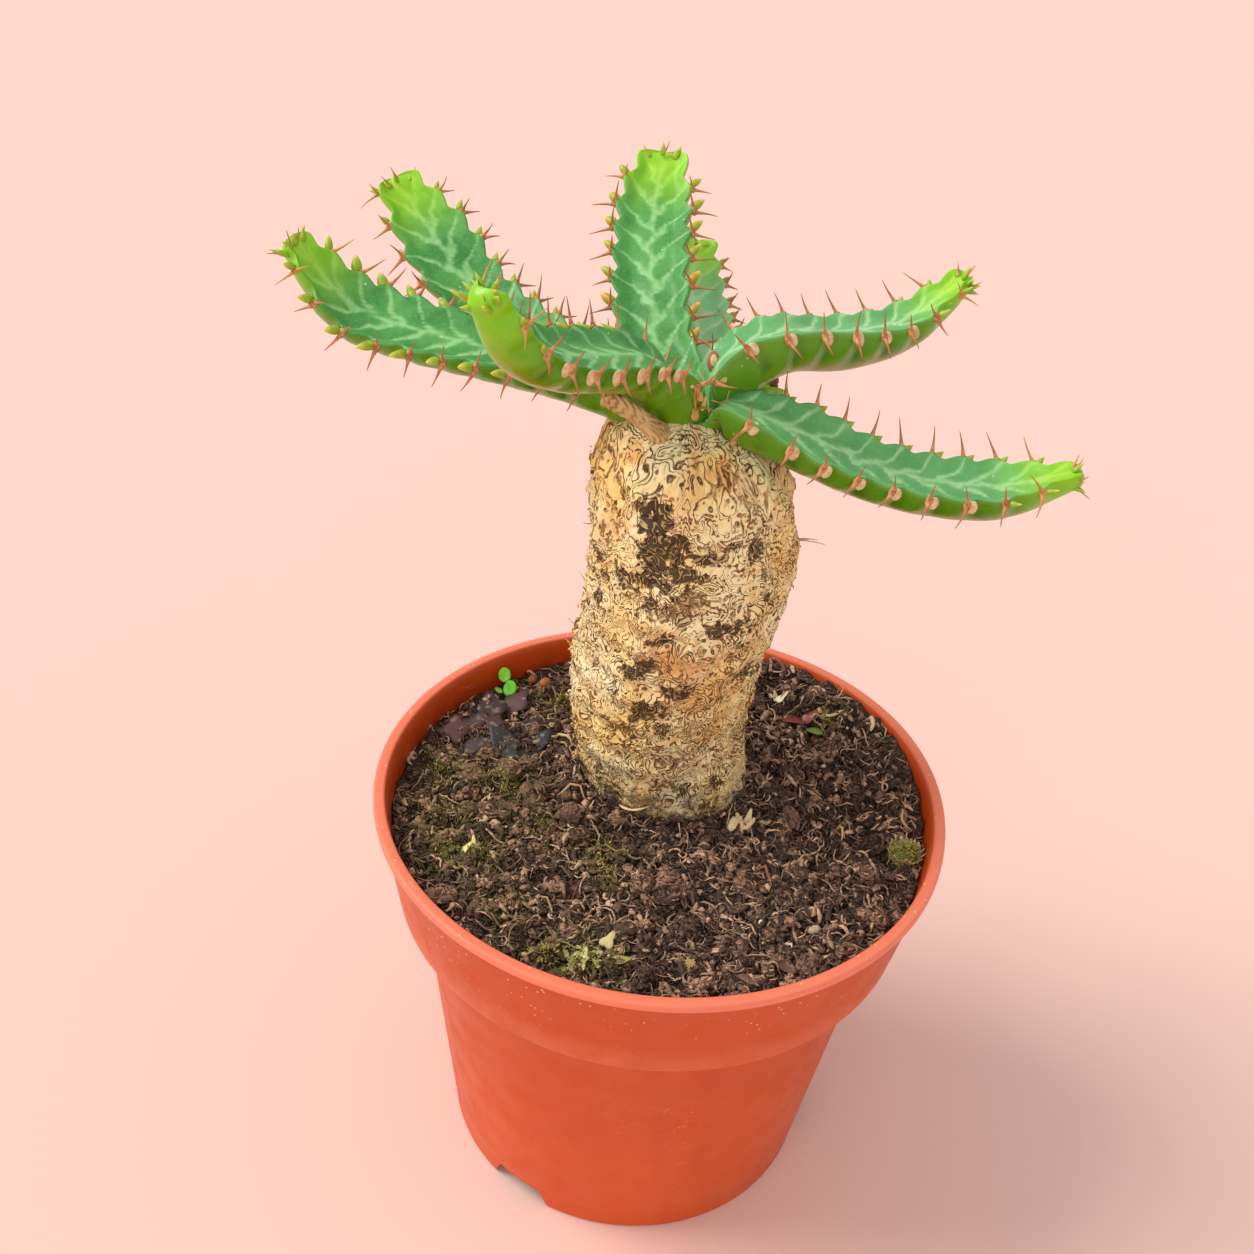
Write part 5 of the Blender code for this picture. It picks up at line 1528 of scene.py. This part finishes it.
# Both ends of a straw, its radius, sideways bow, height of its arch and colour
STRAWS = (
    (36.5, 34.0, 42.6, 34.8, 0.42, 0.3, 0.6, (222, 196, 142)),
    (47.0, 31.7, 47.1, 28.2, 0.55, 0.5, 0.8, (226, 204, 168)),
    (38.0, 2.0, 39.4, -3.1, 0.34, 0.9, 0.8, (210, 176, 128)),
    (41.9, -10.3, 44.1, -16.1, 0.36, 0.9, 0.8, (218, 186, 136)),
    (42.8, -5.9, 44.7, -8.9, 0.3, 0.8, 0.6, (204, 164, 112)),
    (21.6, -12.4, 23.9, -17.5, 0.34, 0.6, 0.8, (164, 96, 72)),
    (15.4, -1.8, 18.4, 0.4, 0.7, 0.8, 1.2, (250, 232, 190)),
    (17.8, -1.6, 20.8, 1.0, 0.6, -0.7, 1.6, (244, 220, 174)),
    (16.4, 0.2, 18.2, -2.4, 0.5, 0.6, 1.2, (236, 206, 156)),
    (21.2, -11.6, 24.3, -19.0, 0.24, 0.7, 0.9, (150, 84, 62)),
    (25.5, -32.5, 27.3, -37.1, 0.3, 0.4, 0.5, (226, 214, 196)),
    (43.0, -29.0, 47.8, -24.5, 0.4, 0.7, 0.8, (204, 170, 124)),
    (12.9, -41.4, 13.4, -46.4, 0.28, 0.4, 0.5, (190, 146, 104)),
    (-10.7, -11.1, -2.4, -13.0, 0.26, -0.7, 1.4, (150, 122, 74)),
    (-20.0, -20.6, -17.5, -26.6, 0.55, 0.2, 0.4, (128, 88, 66)),
    (-21.7, 3.6, -15.2, 2.2, 0.3, 1.6, 1.6, (196, 158, 120)),
    (-25.3, 25.9, -20.0, 23.2, 0.36, 0.4, 0.6, (224, 200, 150)),
    (-24.5, 24.6, -20.6, 22.1, 0.3, 0.2, 0.4, (206, 178, 124)),
    (-14.0, -5.6, -12.2, -10.7, 0.24, 1.2, 1.8, (160, 148, 96)),
    (49.5, 10.6, 53.4, 7.0, 0.28, 0.8, 0.9, (182, 140, 104)),
    (53.2, 6.1, 54.2, 0.1, 0.36, -1.2, 1.2, (204, 164, 122)),
    (44.8, 19.4, 49.1, 17.9, 0.26, 0.5, 0.8, (140, 104, 80)),
    (-11.1, -16.9, -7.2, -19.9, 0.24, 0.8, 1.0, (186, 170, 120)),
    (-51.0, 3.8, -48.1, 8.1, 0.3, 0.6, 0.8, (140, 116, 84)),
    (31.5, 19.2, 35.6, 22.4, 0.3, -0.7, 0.8, (150, 112, 84)),
    (9.6, -23.4, 13.7, -27.2, 0.24, 0.8, 0.9, (168, 128, 100)),
    (-22.4, -27.9, -19.6, -31.8, 0.26, 0.7, 0.9, (176, 148, 104)),
    (-38.2, 41.2, -36.0, 37.6, 0.2, 0.2, 2.2, (150, 190, 70)),
    (-20.0, -40.0, -10.0, -44.0, 0.18, 1.2, 1.2, (156, 142, 76)),
    (-30.0, 47.0, -24.0, 45.0, 0.22, 1.0, 1.0, (130, 98, 72)),
)
# Centre, height over the soil, three half axes, ripples and colour of rounded lumps
LUMPS = (
    (-28.3, 41.2, 0.9, 1.4, 1.4, 1.2, 0, (164, 100, 56)), (-31.5, 43.4, 0.8, 1.2, 1.2, 1.0, 0, (150, 84, 52)),
    (21.7, -29.1, 0.6, 0.5, 0.5, 0.5, 0, (246, 232, 206)),
    (32.5, -28.6, 0.6, 1.5, 1.1, 0.8, 3, (196, 172, 154)),
    (-48.6, 13.0, 0.6, 0.8, 0.8, 0.7, 0, (226, 206, 170)),
)
# Centre, height over the soil, three half axes and shade of the largest clods
CLODS = (
    (-2.5, -21.0, 0.8, 2.9, 2.1, 1.9, 0.5), (3.0, -19.4, 0.9, 2.5, 2.0, 1.9, 0.6),
    (-18.6, -4.0, 0.8, 2.8, 2.6, 2.0, 0.4), (-27.0, 2.0, 0.6, 3.0, 2.6, 1.9, 0.35),
    (-33.0, 10.0, 0.7, 3.0, 2.4, 1.9, 0.4), (-41.0, 8.0, 0.7, 2.8, 2.6, 2.0, 0.4),
    (30.6, -40.4, 0.5, 2.6, 1.9, 1.5, 0.4), (38.4, -35.8, 0.5, 2.2, 1.8, 1.5, 0.5),
    (17.0, -36.0, 0.5, 2.0, 2.0, 1.5, 0.5), (44.0, -14.0, 0.6, 2.2, 2.0, 1.6, 0.4),
    (-24.0, -14.0, 0.7, 2.6, 2.2, 1.8, 0.45), (-36.0, -4.0, 0.7, 2.8, 2.2, 1.9, 0.4),
)
CAUDEX_PLACE = np.array([0.3, 15.3])
CAUDEX_REACH = 15.6
# Height at which the wall bounds the litter, and how far from the axis litter starts and may end
WALL_HEIGHT = 88.0
WALL_REACH = 56.4
PATH_REACH = 56.2
MOSS_REACH = 54.5
MOSS_DENSITY = 26.0
FRONT_MOSS = -40.0
# Azimuth, spread and rise of the bank by the wall, and rise of the peat round the caudex
BANK_AZIMUTH = 18.0
BANK_SPREAD = 24.0
BANK_RISE = 2.2
COLLAR_RISE = 1.5
SOIL_STEPS = 260
SOIL_RINGS = 84
STRAW_COLOUR = (214, 180, 140)
GRAIN_COLOUR = (236, 212, 176)
MOSS_RIM_COLOUR = (226, 206, 162)
MOSS_TIP_COLOUR = (236, 238, 156)
MOSS_BALL_COLOUR = (100, 124, 44)
MOSS_BALL_SIZE = (2.9, 2.9, 2.7)
# Name, count, steps, sides, least and greatest length, spread of the bend, least radius and its
# range, widths along the way, least shade and its range
LITTER_KINDS = (
    ("peat_fibres", 1700, 6, 3, 2.2, 8.0, 1.1, 0.12, 0.2, (0.55, 0.95, 1.0, 1.0, 0.9, 0.7, 0.35), 0.15, 0.85),
    ("peat_flakes", 3000, 5, 4, 1.5, 4.2, 2.2, 0.26, 0.56, (0.45, 0.95, 1.1, 1.0, 0.8, 0.3), 0.04, 0.76),
)
CLUSTER_COUNT = 170
CRUMB_COUNT = 1100
FINE_CRUMB = 0.72
CLOD_COUNT = 54
FOOT_CLOD_COUNT = 40
MOSS_BALL_LEAVES = 420
STRAW_COUNT = 46
GRAIN_COUNT = 70
MOSS_RIM_COUNT = 26
MOSS_TIP_COUNT = 22

# Broad swells, lumps, grit and curls of the peat's surface
PEAT_RELIEF = (
    fractal(10.0, 54) + 1.2 * fractal(5.0, 51) + 0.45 * fractal(1.6, 52, 1.8)
    + 0.35 * labyrinth(2.2, 1.0, 53, 0.2, 50)
)


def soil_rise(x, y):
    """Height of the soil's surface, as in the CAD model."""
    reach = np.hypot(x, y) / inner_radius(SOIL_HEIGHT)
    dish = -SOIL_DISH * (1.0 - reach ** 4)
    away = (np.degrees(np.arctan2(y, x)) - SOIL_HEAP_AZIMUTH) / SOIL_HEAP_SPREAD
    heap = SOIL_HEAP * np.exp(-away * away) * reach ** 3
    crumbs = np.sin(0.9 * x + 1.3) * np.sin(0.8 * y + 0.4) + 0.7 * np.sin(0.5 * x - 0.7 * y)
    return SOIL_HEIGHT + dish + heap + SOIL_CRUMB * crumbs


def caudex_gap(x, y):
    return np.hypot(x - CAUDEX_PLACE[0], y - CAUDEX_PLACE[1])


def ground(x, y):
    """Height of the lumpy surface, a little higher by the wall on the right and at the caudex."""
    away = (np.degrees(np.arctan2(y, x)) - BANK_AZIMUTH) / BANK_SPREAD
    reach = np.hypot(x, y)
    bank = BANK_RISE * np.exp(-away * away) * np.clip(reach / 56.0, 0.0, 1.0) ** 4
    collar = COLLAR_RISE * np.exp(-((caudex_gap(x, y) - 17.0) / 4.0) ** 2)
    lumps = sample(PEAT_RELIEF, (x + 64.0) * 4.0, (y + 64.0) * 4.0) * (1.0 - 0.8 * step_up(reach, 51.0, 57.0))
    return soil_rise(x, y) + bank + collar + lumps


def over_ground(x, y, rise):
    return np.array([x, y, ground(x, y) + rise])


def moss_cover(x, y):
    cover = np.zeros_like(x)
    for left, front, spread, strength in MOSS:
        cover = np.maximum(cover, strength * np.exp(-((x - left) ** 2 + (y - front) ** 2) / spread ** 2))
    return cover


def build_soil(look):
    """The peat: the CAD model's filling with a fine lumpy surface."""
    walls = ((3.0, 1.9, 1.8), (3.3, 3.3, CLEARANCE), (69.9, 70.0, CLEARANCE), (70.7, 70.7, CLEARANCE))
    rings = [bulged_ring(inner_radius(level) - gap, height, SOIL_STEPS) for level, height, gap in walls]
    for share in (*np.linspace(1.0, 0.2, SOIL_RINGS), 0.12, 0.05):
        reach = share * inner_radius(SOIL_HEIGHT)
        height = ground(reach * np.cos(circle(SOIL_STEPS)), reach * np.sin(circle(SOIL_STEPS)))
        rings.append(bulged_ring(share * (inner_radius(height) - CLEARANCE), height, SOIL_STEPS))
    body = closed_grid(rings)
    values = {"moss": moss_cover(body[0][:, 0], body[0][:, 1])}
    make_piece("soil_bed", body, look, "soil", values)


def scatter(chance, margin=1.0):
    """A random place on the soil, away from the caudex and inside the wall."""
    while True:
        x = chance.uniform(-RIM_RADIUS, RIM_RADIUS)
        y = chance.uniform(-RIM_RADIUS, RIM_RADIUS)
        wall = (WALL_REACH - margin) * bulge_factor(x, y, WALL_HEIGHT)
        if math.hypot(x, y) <= wall and caudex_gap(x, y) >= CAUDEX_REACH:
            return x, y


def lying_path(chance, x, y, length, bend, wriggle, steps):
    """A curly path of points along the soil from a place."""
    heading = any_turn(chance)
    height = ground(x, y) + chance.uniform(0.0, 0.5)
    path = []
    for _ in range(steps + 1):
        path.append((x, y, height))
        heading += bend / steps * 2.0 + wriggle * chance.uniform(-1.0, 1.0)
        x += math.cos(heading) * length / steps
        y += math.sin(heading) * length / steps
        rim = PATH_REACH * bulge_factor(x, y, WALL_HEIGHT)
        if math.hypot(x, y) > rim:
            x *= rim / math.hypot(x, y)
            y *= rim / math.hypot(x, y)
        height = 0.6 * height + 0.4 * (ground(x, y) + 0.4) + chance.uniform(-0.3, 0.45)
    return path


def build_fibres(look):
    """Thin peat fibres and broader curled flakes that lie tangled on the surface."""
    chance = random.Random(SEEDS["fibres"])
    for name, count, steps, sides, short, long, bend, thin, more, widths, dark, pale in LITTER_KINDS:
        heap = Heap()
        for _ in range(count):
            x, y = scatter(chance)
            length = chance.uniform(short, long)
            turn = chance.gauss(0.0, bend)
            path = lying_path(chance, x, y, length, turn, chance.uniform(0.0, 0.6), steps)
            radius = thin + more * chance.random() ** 2
            flat = chance.uniform(0.35, 0.9) if name == "peat_flakes" else 0.9
            body = tube(path, radius * np.array(widths), sides, flat)
            heap.add(body, shade=dark + pale * chance.random() ** 1.8, moss=moss_cover(*path[2][:2]))
        heap.piece(name, look, "peat")


def crumb_shape():
    """A unit ball of 20 triangles and one of 80, each as points and triangles."""
    golden = (1.0 + 5.0 ** 0.5) / 2.0
    corners = []
    for first in (-1.0, 1.0):
        for second in (-golden, golden):
            corners += [(0.0, first, second), (first, second, 0.0), (second, 0.0, first)]
    corners = unit(np.array(corners))
    gap = min(np.linalg.norm(corners[0] - corner) for corner in corners[1:])
    faces = []
    for a, b, c in combinations(range(len(corners)), 3):
        sides = [np.linalg.norm(corners[i] - corners[j]) for i, j in ((a, b), (b, c), (a, c))]
        if max(sides) < gap * 1.1:
            turned = np.dot(np.cross(corners[b] - corners[a], corners[c] - corners[a]), corners[a]) < 0
            faces.append((a, c, b) if turned else (a, b, c))
    points = list(corners)
    middles = {}

    def middle(first, second):
        key = (min(first, second), max(first, second))
        if key not in middles:
            points.append(unit(points[first] + points[second]))
            middles[key] = len(points) - 1
        return middles[key]

    finer = []
    for a, b, c in faces:
        ab, bc, ca = middle(a, b), middle(b, c), middle(c, a)
        finer += [(a, ab, ca), (ab, b, bc), (ca, bc, c), (ab, bc, ca)]
    return (corners, np.array(faces)), (np.array(points), np.array(finer))


def build_crumbs(look):
    """Crumbs of peat between the fibres, single and gathered into clusters."""
    chance = random.Random(SEEDS["crumbs"])
    jitter = np.random.default_rng(SEEDS["crumb_shapes"])
    coarse, fine = crumb_shape()
    heap = Heap()
    places = []
    for _ in range(CLUSTER_COUNT):
        x, y = scatter(chance, 3.0)
        around = chance.uniform(0.9, 2.3)
        shade = chance.random() ** 1.5
        for _ in range(int(5 + 5 * around)):
            turn = any_turn(chance)
            off = around * math.sqrt(chance.random())
            rise = 0.7 * math.sqrt(max(0.0, around ** 2 - off ** 2)) * chance.uniform(0.4, 1.0)
            spot = (x + off * math.cos(turn), y + off * math.sin(turn))
            places.append((*spot, rise, chance.uniform(0.35, 0.85), shade * chance.uniform(0.6, 1.2)))
    for _ in range(CRUMB_COUNT):
        x, y = scatter(chance, 1.5)
        places.append((x, y, 0.0, 0.35 + 0.8 * chance.random() ** 2.0, chance.random() ** 2))
    for x, y, rise, size, shade in places:
        base, faces = fine if size > FINE_CRUMB else coarse
        shape = base * (1.0 + jitter.normal(0.0, 0.2, (len(base), 1)))
        stretch = np.array([chance.uniform(0.8, 1.4), chance.uniform(0.7, 1.1), chance.uniform(0.5, 0.9)])
        spin = np.array([*compass(any_turn(chance)), UP])
        points = (shape * stretch * size) @ spin + over_ground(x, y, rise + 0.1 * size)
        heap.add((points, (), faces), shade=min(1.0, shade), moss=0.8 * moss_cover(x, y))
    heap.piece("peat_crumbs", look, "peat", sharp=50.0)


def clod_places(chance):
    """Place, height over the soil, half width, half height and shade of every clod."""
    rows = [(x, y, rise, 0.5 * (long + wide), tall, shade) for x, y, rise, long, wide, tall, shade in CLODS]
    for _ in range(CLOD_COUNT):
        x, y = scatter(chance, 4.0)
        if x > 0.0 and chance.random() < 0.5:
            x, y = scatter(chance, 4.0)
        size = chance.uniform(1.1, 2.4)
        rows.append((x, y, 0.2 * size, size, 0.65 * size, 0.1 + 0.4 * chance.random()))
    for _ in range(FOOT_CLOD_COUNT):
        turn = any_turn(chance)
        size = chance.uniform(0.7, 1.7)
        x, y = CAUDEX_PLACE + compass(turn)[0][:2] * (16.4 + chance.uniform(0.0, 1.6))
        rows.append((x, y, chance.uniform(0.0, 0.9), size, 0.8 * size, 0.5 * chance.random()))
    return rows


def build_clods(look):
    """Wrinkled clods of peat up to 6 mm across with curls on them, some at the caudex's foot."""
    chance = random.Random(SEEDS["clods"])
    jitter = np.random.default_rng(SEEDS["clod_shapes"])
    heap = Heap()
    for x, y, rise, size, tall, shade in clod_places(chance):
        centre = over_ground(x, y, rise)
        ahead, aside = compass(any_turn(chance))
        axes = np.array([(ahead * 1.15 + UP * 0.2) * size, aside * 0.9 * size, UP * tall])
        points, quads, triangles, _ = ball(centre, axes, 12, 16)
        away = points - centre
        swell = 1.0 + jitter.normal(0.0, 0.11, len(points))
        for strength, rate in ((0.16, 1.6), (0.12, 3.2)):
            lean = unit(np.array([chance.gauss(0.0, 1.0) for _ in range(3)])) * rate
            bent = away @ lean + 0.8 * np.sin(away @ lean[::-1] + chance.uniform(0.0, 6.0))
            swell += strength * np.sin(bent + chance.uniform(0.0, 6.0))
        mossy = 0.9 * moss_cover(x, y)
        heap.add((centre + away * swell[:, None], quads, triangles), shade=shade, moss=mossy)
        for _ in range(4 + int(4.0 * size)):
            start = any_turn(chance)
            low = chance.uniform(0.2, 1.3)
            bend = chance.uniform(0.5, 1.6) * chance.choice((-1.0, 1.0))
            climb = chance.uniform(-0.5, 0.9)
            path = []
            for part in np.linspace(0.0, 1.0, 5):
                turn, up = start + bend * part, low + climb * part
                around = axes[0] * math.cos(turn) + axes[1] * math.sin(turn)
                hug = around * math.cos(up) + axes[2] * math.sin(up)
                path.append(centre + hug * (1.02 + 0.12 * math.sin(3.0 * part)))
            curl = tube(path, chance.uniform(0.2, 0.42) * np.array([0.4, 1.0, 1.0, 0.8, 0.3]), 4, 0.6)
            heap.add(curl, shade=min(1.0, shade + chance.uniform(-0.1, 0.5)), moss=mossy)
    heap.piece("peat_clods", look, "peat", sharp=38.0)


def build_moss(look):
    """Cushions of tiny moss leaves, and the round one by the wall."""
    chance = random.Random(SEEDS["moss"])
    heap = Heap()
    spots = []
    for left, front, spread, strength in MOSS:
        for _ in range(int(MOSS_DENSITY * spread * strength)):
            turn = any_turn(chance)
            off = abs(chance.gauss(0.0, 0.42)) * spread
            x = left + off * math.cos(turn)
            y = front + off * math.sin(turn)
            if math.hypot(x, y) < MOSS_REACH:
                aim = np.array([chance.uniform(-0.8, 0.8), chance.uniform(-0.8, 0.8), 0.8])
                shade = chance.random() ** 1.3 + (0.25 if front < FRONT_MOSS else 0.0)
                spots.append((over_ground(x, y, chance.uniform(0.0, 0.9)), aim, min(1.0, shade)))
    for _ in range(MOSS_BALL_LEAVES):
        turn = any_turn(chance)
        low = chance.uniform(0.0, 1.0)
        aim = compass(turn)[0] * math.sqrt(1.0 - low * low) + UP * low
        spots.append((MOSS_BALL + aim * 2.6, aim + 0.3 * UP, 0.3 + 0.7 * chance.random()))
    for root, aim, shade in spots:
        length = chance.uniform(0.6, 1.3)
        side = np.array([chance.uniform(-1.0, 1.0), chance.uniform(-1.0, 1.0), chance.uniform(-0.4, 0.4)])
        path = [root + unit(aim) * length * part + side * 0.35 * part ** 2 for part in (0.0, 0.5, 1.0)]
        heap.add(tube(path, (0.1, 0.26, 0.05), 3, 0.6), shade=shade)
    heap.piece("moss_leaves", look, "peat")


def leaf_disk(centre, heading, tilt, long, wide, cup, lobes, wave, tip):
    """A thin leaf or flake with a wavy outline, cupped, turned and tilted by degrees."""
    tilt = math.radians(tilt)
    ahead, across = compass(math.radians(heading))
    along = ahead * math.cos(tilt) + UP * math.sin(tilt)
    upward = np.cross(along, across)
    turn = circle(24)
    outline = 1.0 + wave * np.cos(lobes * turn)
    grid = []
    for share, level in ((0.3, -1.0), (0.7, -1.0), (1.0, -0.5), (1.0, 0.5), (0.7, 1.0), (0.3, 1.0)):
        x = long * share * outline * np.cos(turn) * (1.0 + tip * np.maximum(np.cos(turn), 0.0) ** 4)
        y = wide * share * outline * np.sin(turn)
        z = cup * long * share ** 2 * (0.6 + 0.4 * np.cos(2.0 * turn)) + 0.07 * level
        grid.append(centre + along * x[:, None] + across * y[:, None] + upward * z[:, None])
    return closed_grid(grid)


def build_litter(look):
    """Leaves and straws on the soil."""
    chance = random.Random(SEEDS["litter"])
    leaves = Heap()
    for x, y, rise, *form, colour in LEAVES:
        leaves.add(leaf_disk(over_ground(x, y, rise), *form), tint=tint(colour))
    leaves.piece("litter_leaves", look, "peat")
    straws = Heap()
    rows = list(STRAWS)
    for _ in range(STRAW_COUNT):
        x, y = scatter(chance, 6.0)
        ahead = compass(any_turn(chance))[0] * chance.uniform(2.0, 5.0)
        pale = chance.uniform(0.55, 1.0)
        colour = [channel * pale for channel in STRAW_COLOUR]
        rows.append((x, y, x + ahead[0], y + ahead[1], 0.2, chance.uniform(-0.8, 0.8), 0.7, colour))
    for x, y, last_x, last_y, radius, bow, arch, colour in rows:
        run = np.array([last_x - x, last_y - y])
        aside = np.array([-run[1], run[0]]) / math.hypot(*run)
        path = []
        for part in np.linspace(0.0, 1.0, 7):
            swing = math.sin(math.pi * part)
            place = np.array([x, y]) + run * part + aside * bow * swing
            path.append(over_ground(*place, 0.35 + arch * swing))
        straws.add(tube(path, radius * np.array([0.6, 1.0, 0.95, 1.0, 0.9, 0.8, 0.4]), 6), tint=tint(colour))
    straws.piece("litter_straws", look, "peat")
    build_lumps(chance, look)


def build_lumps(chance, look):
    """Lumps, pale grains, tips of moss, and the round moss cushion with its rim."""
    lumps = Heap()
    for x, y, rise, long, wide, tall, ripples, colour in LUMPS:
        centre = over_ground(x, y, rise)
        axes = np.array([[0.0, wide, 0.0], [0.0, 0.0, tall], [long, 0.25 * long, 0.0]])
        points, quads, triangles, share = ball(centre, axes, 16, 16)
        swell = 1.0 + 0.05 * np.sin(2.0 * np.pi * ripples * share)
        lumps.add((centre + (points - centre) * swell[:, None], quads, triangles), tint=tint(colour))
    for _ in range(GRAIN_COUNT):
        x, y = scatter(chance, 2.0)
        grain = ball(over_ground(x, y, 0.5), np.eye(3) * chance.uniform(0.16, 0.4), 5, 6)
        lumps.add(grain, tint=tint(GRAIN_COLOUR, chance.uniform(0.7, 1.0)))
    for index in range(MOSS_RIM_COUNT):
        turn = FULL_TURN * (index + chance.uniform(-0.3, 0.3)) / MOSS_RIM_COUNT
        reach = 3.1 + chance.uniform(-0.2, 0.3)
        centre = MOSS_BALL + compass(turn)[0] * reach + UP * chance.uniform(0.5, 1.3)
        size = (chance.uniform(0.7, 1.3), chance.uniform(0.5, 0.9))
        leaf = leaf_disk(centre, math.degrees(turn), chance.uniform(30.0, 75.0), *size, 0.3, 3, 0.2, 0.3)
        lumps.add(leaf, tint=tint(MOSS_RIM_COLOUR, chance.uniform(0.75, 1.0)))
    for _ in range(MOSS_TIP_COUNT):
        x, y = chance.uniform(-18.0, -7.5), chance.uniform(-46.5, -40.0)
        centre = over_ground(x, y, chance.uniform(0.6, 1.4))
        size = (chance.uniform(0.5, 1.0), chance.uniform(0.35, 0.6))
        turns = (chance.uniform(0.0, 360.0), chance.uniform(0.0, 50.0))
        leaf = leaf_disk(centre, *turns, *size, 0.3, 3, 0.2, 0.3)
        lumps.add(leaf, tint=tint(MOSS_TIP_COLOUR, chance.uniform(0.7, 1.0)))
    lumps.add(ball(MOSS_BALL, np.diag(MOSS_BALL_SIZE), 12, 20), tint=tint(MOSS_BALL_COLOUR))
    lumps.piece("litter_lumps", look, "peat")


# Stage

FLOOR_HALF = 6.0
WORLD_COLOUR = (1.0, 0.94, 0.91, 1.0)
WORLD_STRENGTH = 0.62
LIGHT_TARGET = (0.0, 0.0, 130.0)
# Name, place, angle, power and colour
LIGHTS = (
    ("key_light", (-430.0, 40.0, 600.0), 34.0, 2.1, (1.0, 0.95, 0.88)),
    ("front_light", (-120.0, -520.0, 420.0), 60.0, 0.55, (1.0, 0.93, 0.86)),
)


def build_stage():
    """A pale floor and soft light."""
    mesh = bpy.data.meshes.new("floor")
    corners = [(x * FLOOR_HALF, y * FLOOR_HALF, 0.0) for x, y in ((-1, -1), (1, -1), (1, 1), (-1, 1))]
    mesh.from_pydata(corners, [], [(0, 1, 2, 3)])
    mesh.materials.append(Nodes("floor_look").finish(Base_Color=(240, 205, 196), Roughness=0.9))
    show("floor", mesh)
    world = bpy.data.worlds.new("studio")
    world.use_nodes = True
    sky = world.node_tree.nodes["Background"].inputs
    sky["Color"].default_value = WORLD_COLOUR
    sky["Strength"].default_value = WORLD_STRENGTH
    bpy.context.scene.world = world
    for name, place, angle, power, colour in LIGHTS:
        lamp = bpy.data.lights.new(name, "SUN")
        lamp.angle = math.radians(angle)
        lamp.energy = power
        lamp.color = colour
        item = show(name, lamp)
        item.location = Vector(place) * MM
        aim = Vector(LIGHT_TARGET) * MM - item.location
        item.rotation_euler = aim.to_track_quat("-Z", "Y").to_euler()


def build_camera():
    """The camera at the photograph's angle."""
    elevation = math.radians(CAMERA_ELEVATION)
    roll = math.radians(CAMERA_ROLL)
    back = Vector((0.0, -math.cos(elevation), math.sin(elevation)))
    level = Vector((1.0, 0.0, 0.0))
    upright = back.cross(level)
    right = level * math.cos(roll) + upright * math.sin(roll)
    up = upright * math.cos(roll) - level * math.sin(roll)
    lens = bpy.data.cameras.new("camera")
    lens.sensor_width = SENSOR_WIDTH
    lens.lens = CAMERA_LENS
    lens.clip_start = 0.01
    camera = show("camera", lens)
    turn = Matrix((right, up, back)).transposed().to_4x4()
    camera.matrix_world = Matrix.Translation(Vector(CAMERA_PLACE) * MM) @ turn
    bpy.context.scene.camera = camera
    bpy.context.scene.view_settings.view_transform = "Standard"


def main():
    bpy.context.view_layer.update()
    build_camera()
    build_stage()
    build_pot(plastic_material())
    cork = cork_material()
    build_caudex(cork)
    build_cork_curls(cork)
    build_caudex_flakes(cork)
    found = tinted_material()
    build_rootlets(found)
    build_stump(stump_material())
    build_stems()
    build_crown_bits(found)
    build_soil(peat_material())
    build_fibres(litter_material("fibre_look", (72, 49, 39), (246, 202, 168)))
    # The crumbs and clods get painted shade in their creases
    crumb_look = litter_material("crumb_look", (72, 49, 38), (196, 150, 122), 0.9)
    build_crumbs(crumb_look)
    build_clods(crumb_look)
    build_moss(litter_material("moss_look", (92, 84, 34), (212, 200, 108)))
    build_litter(found)


main()
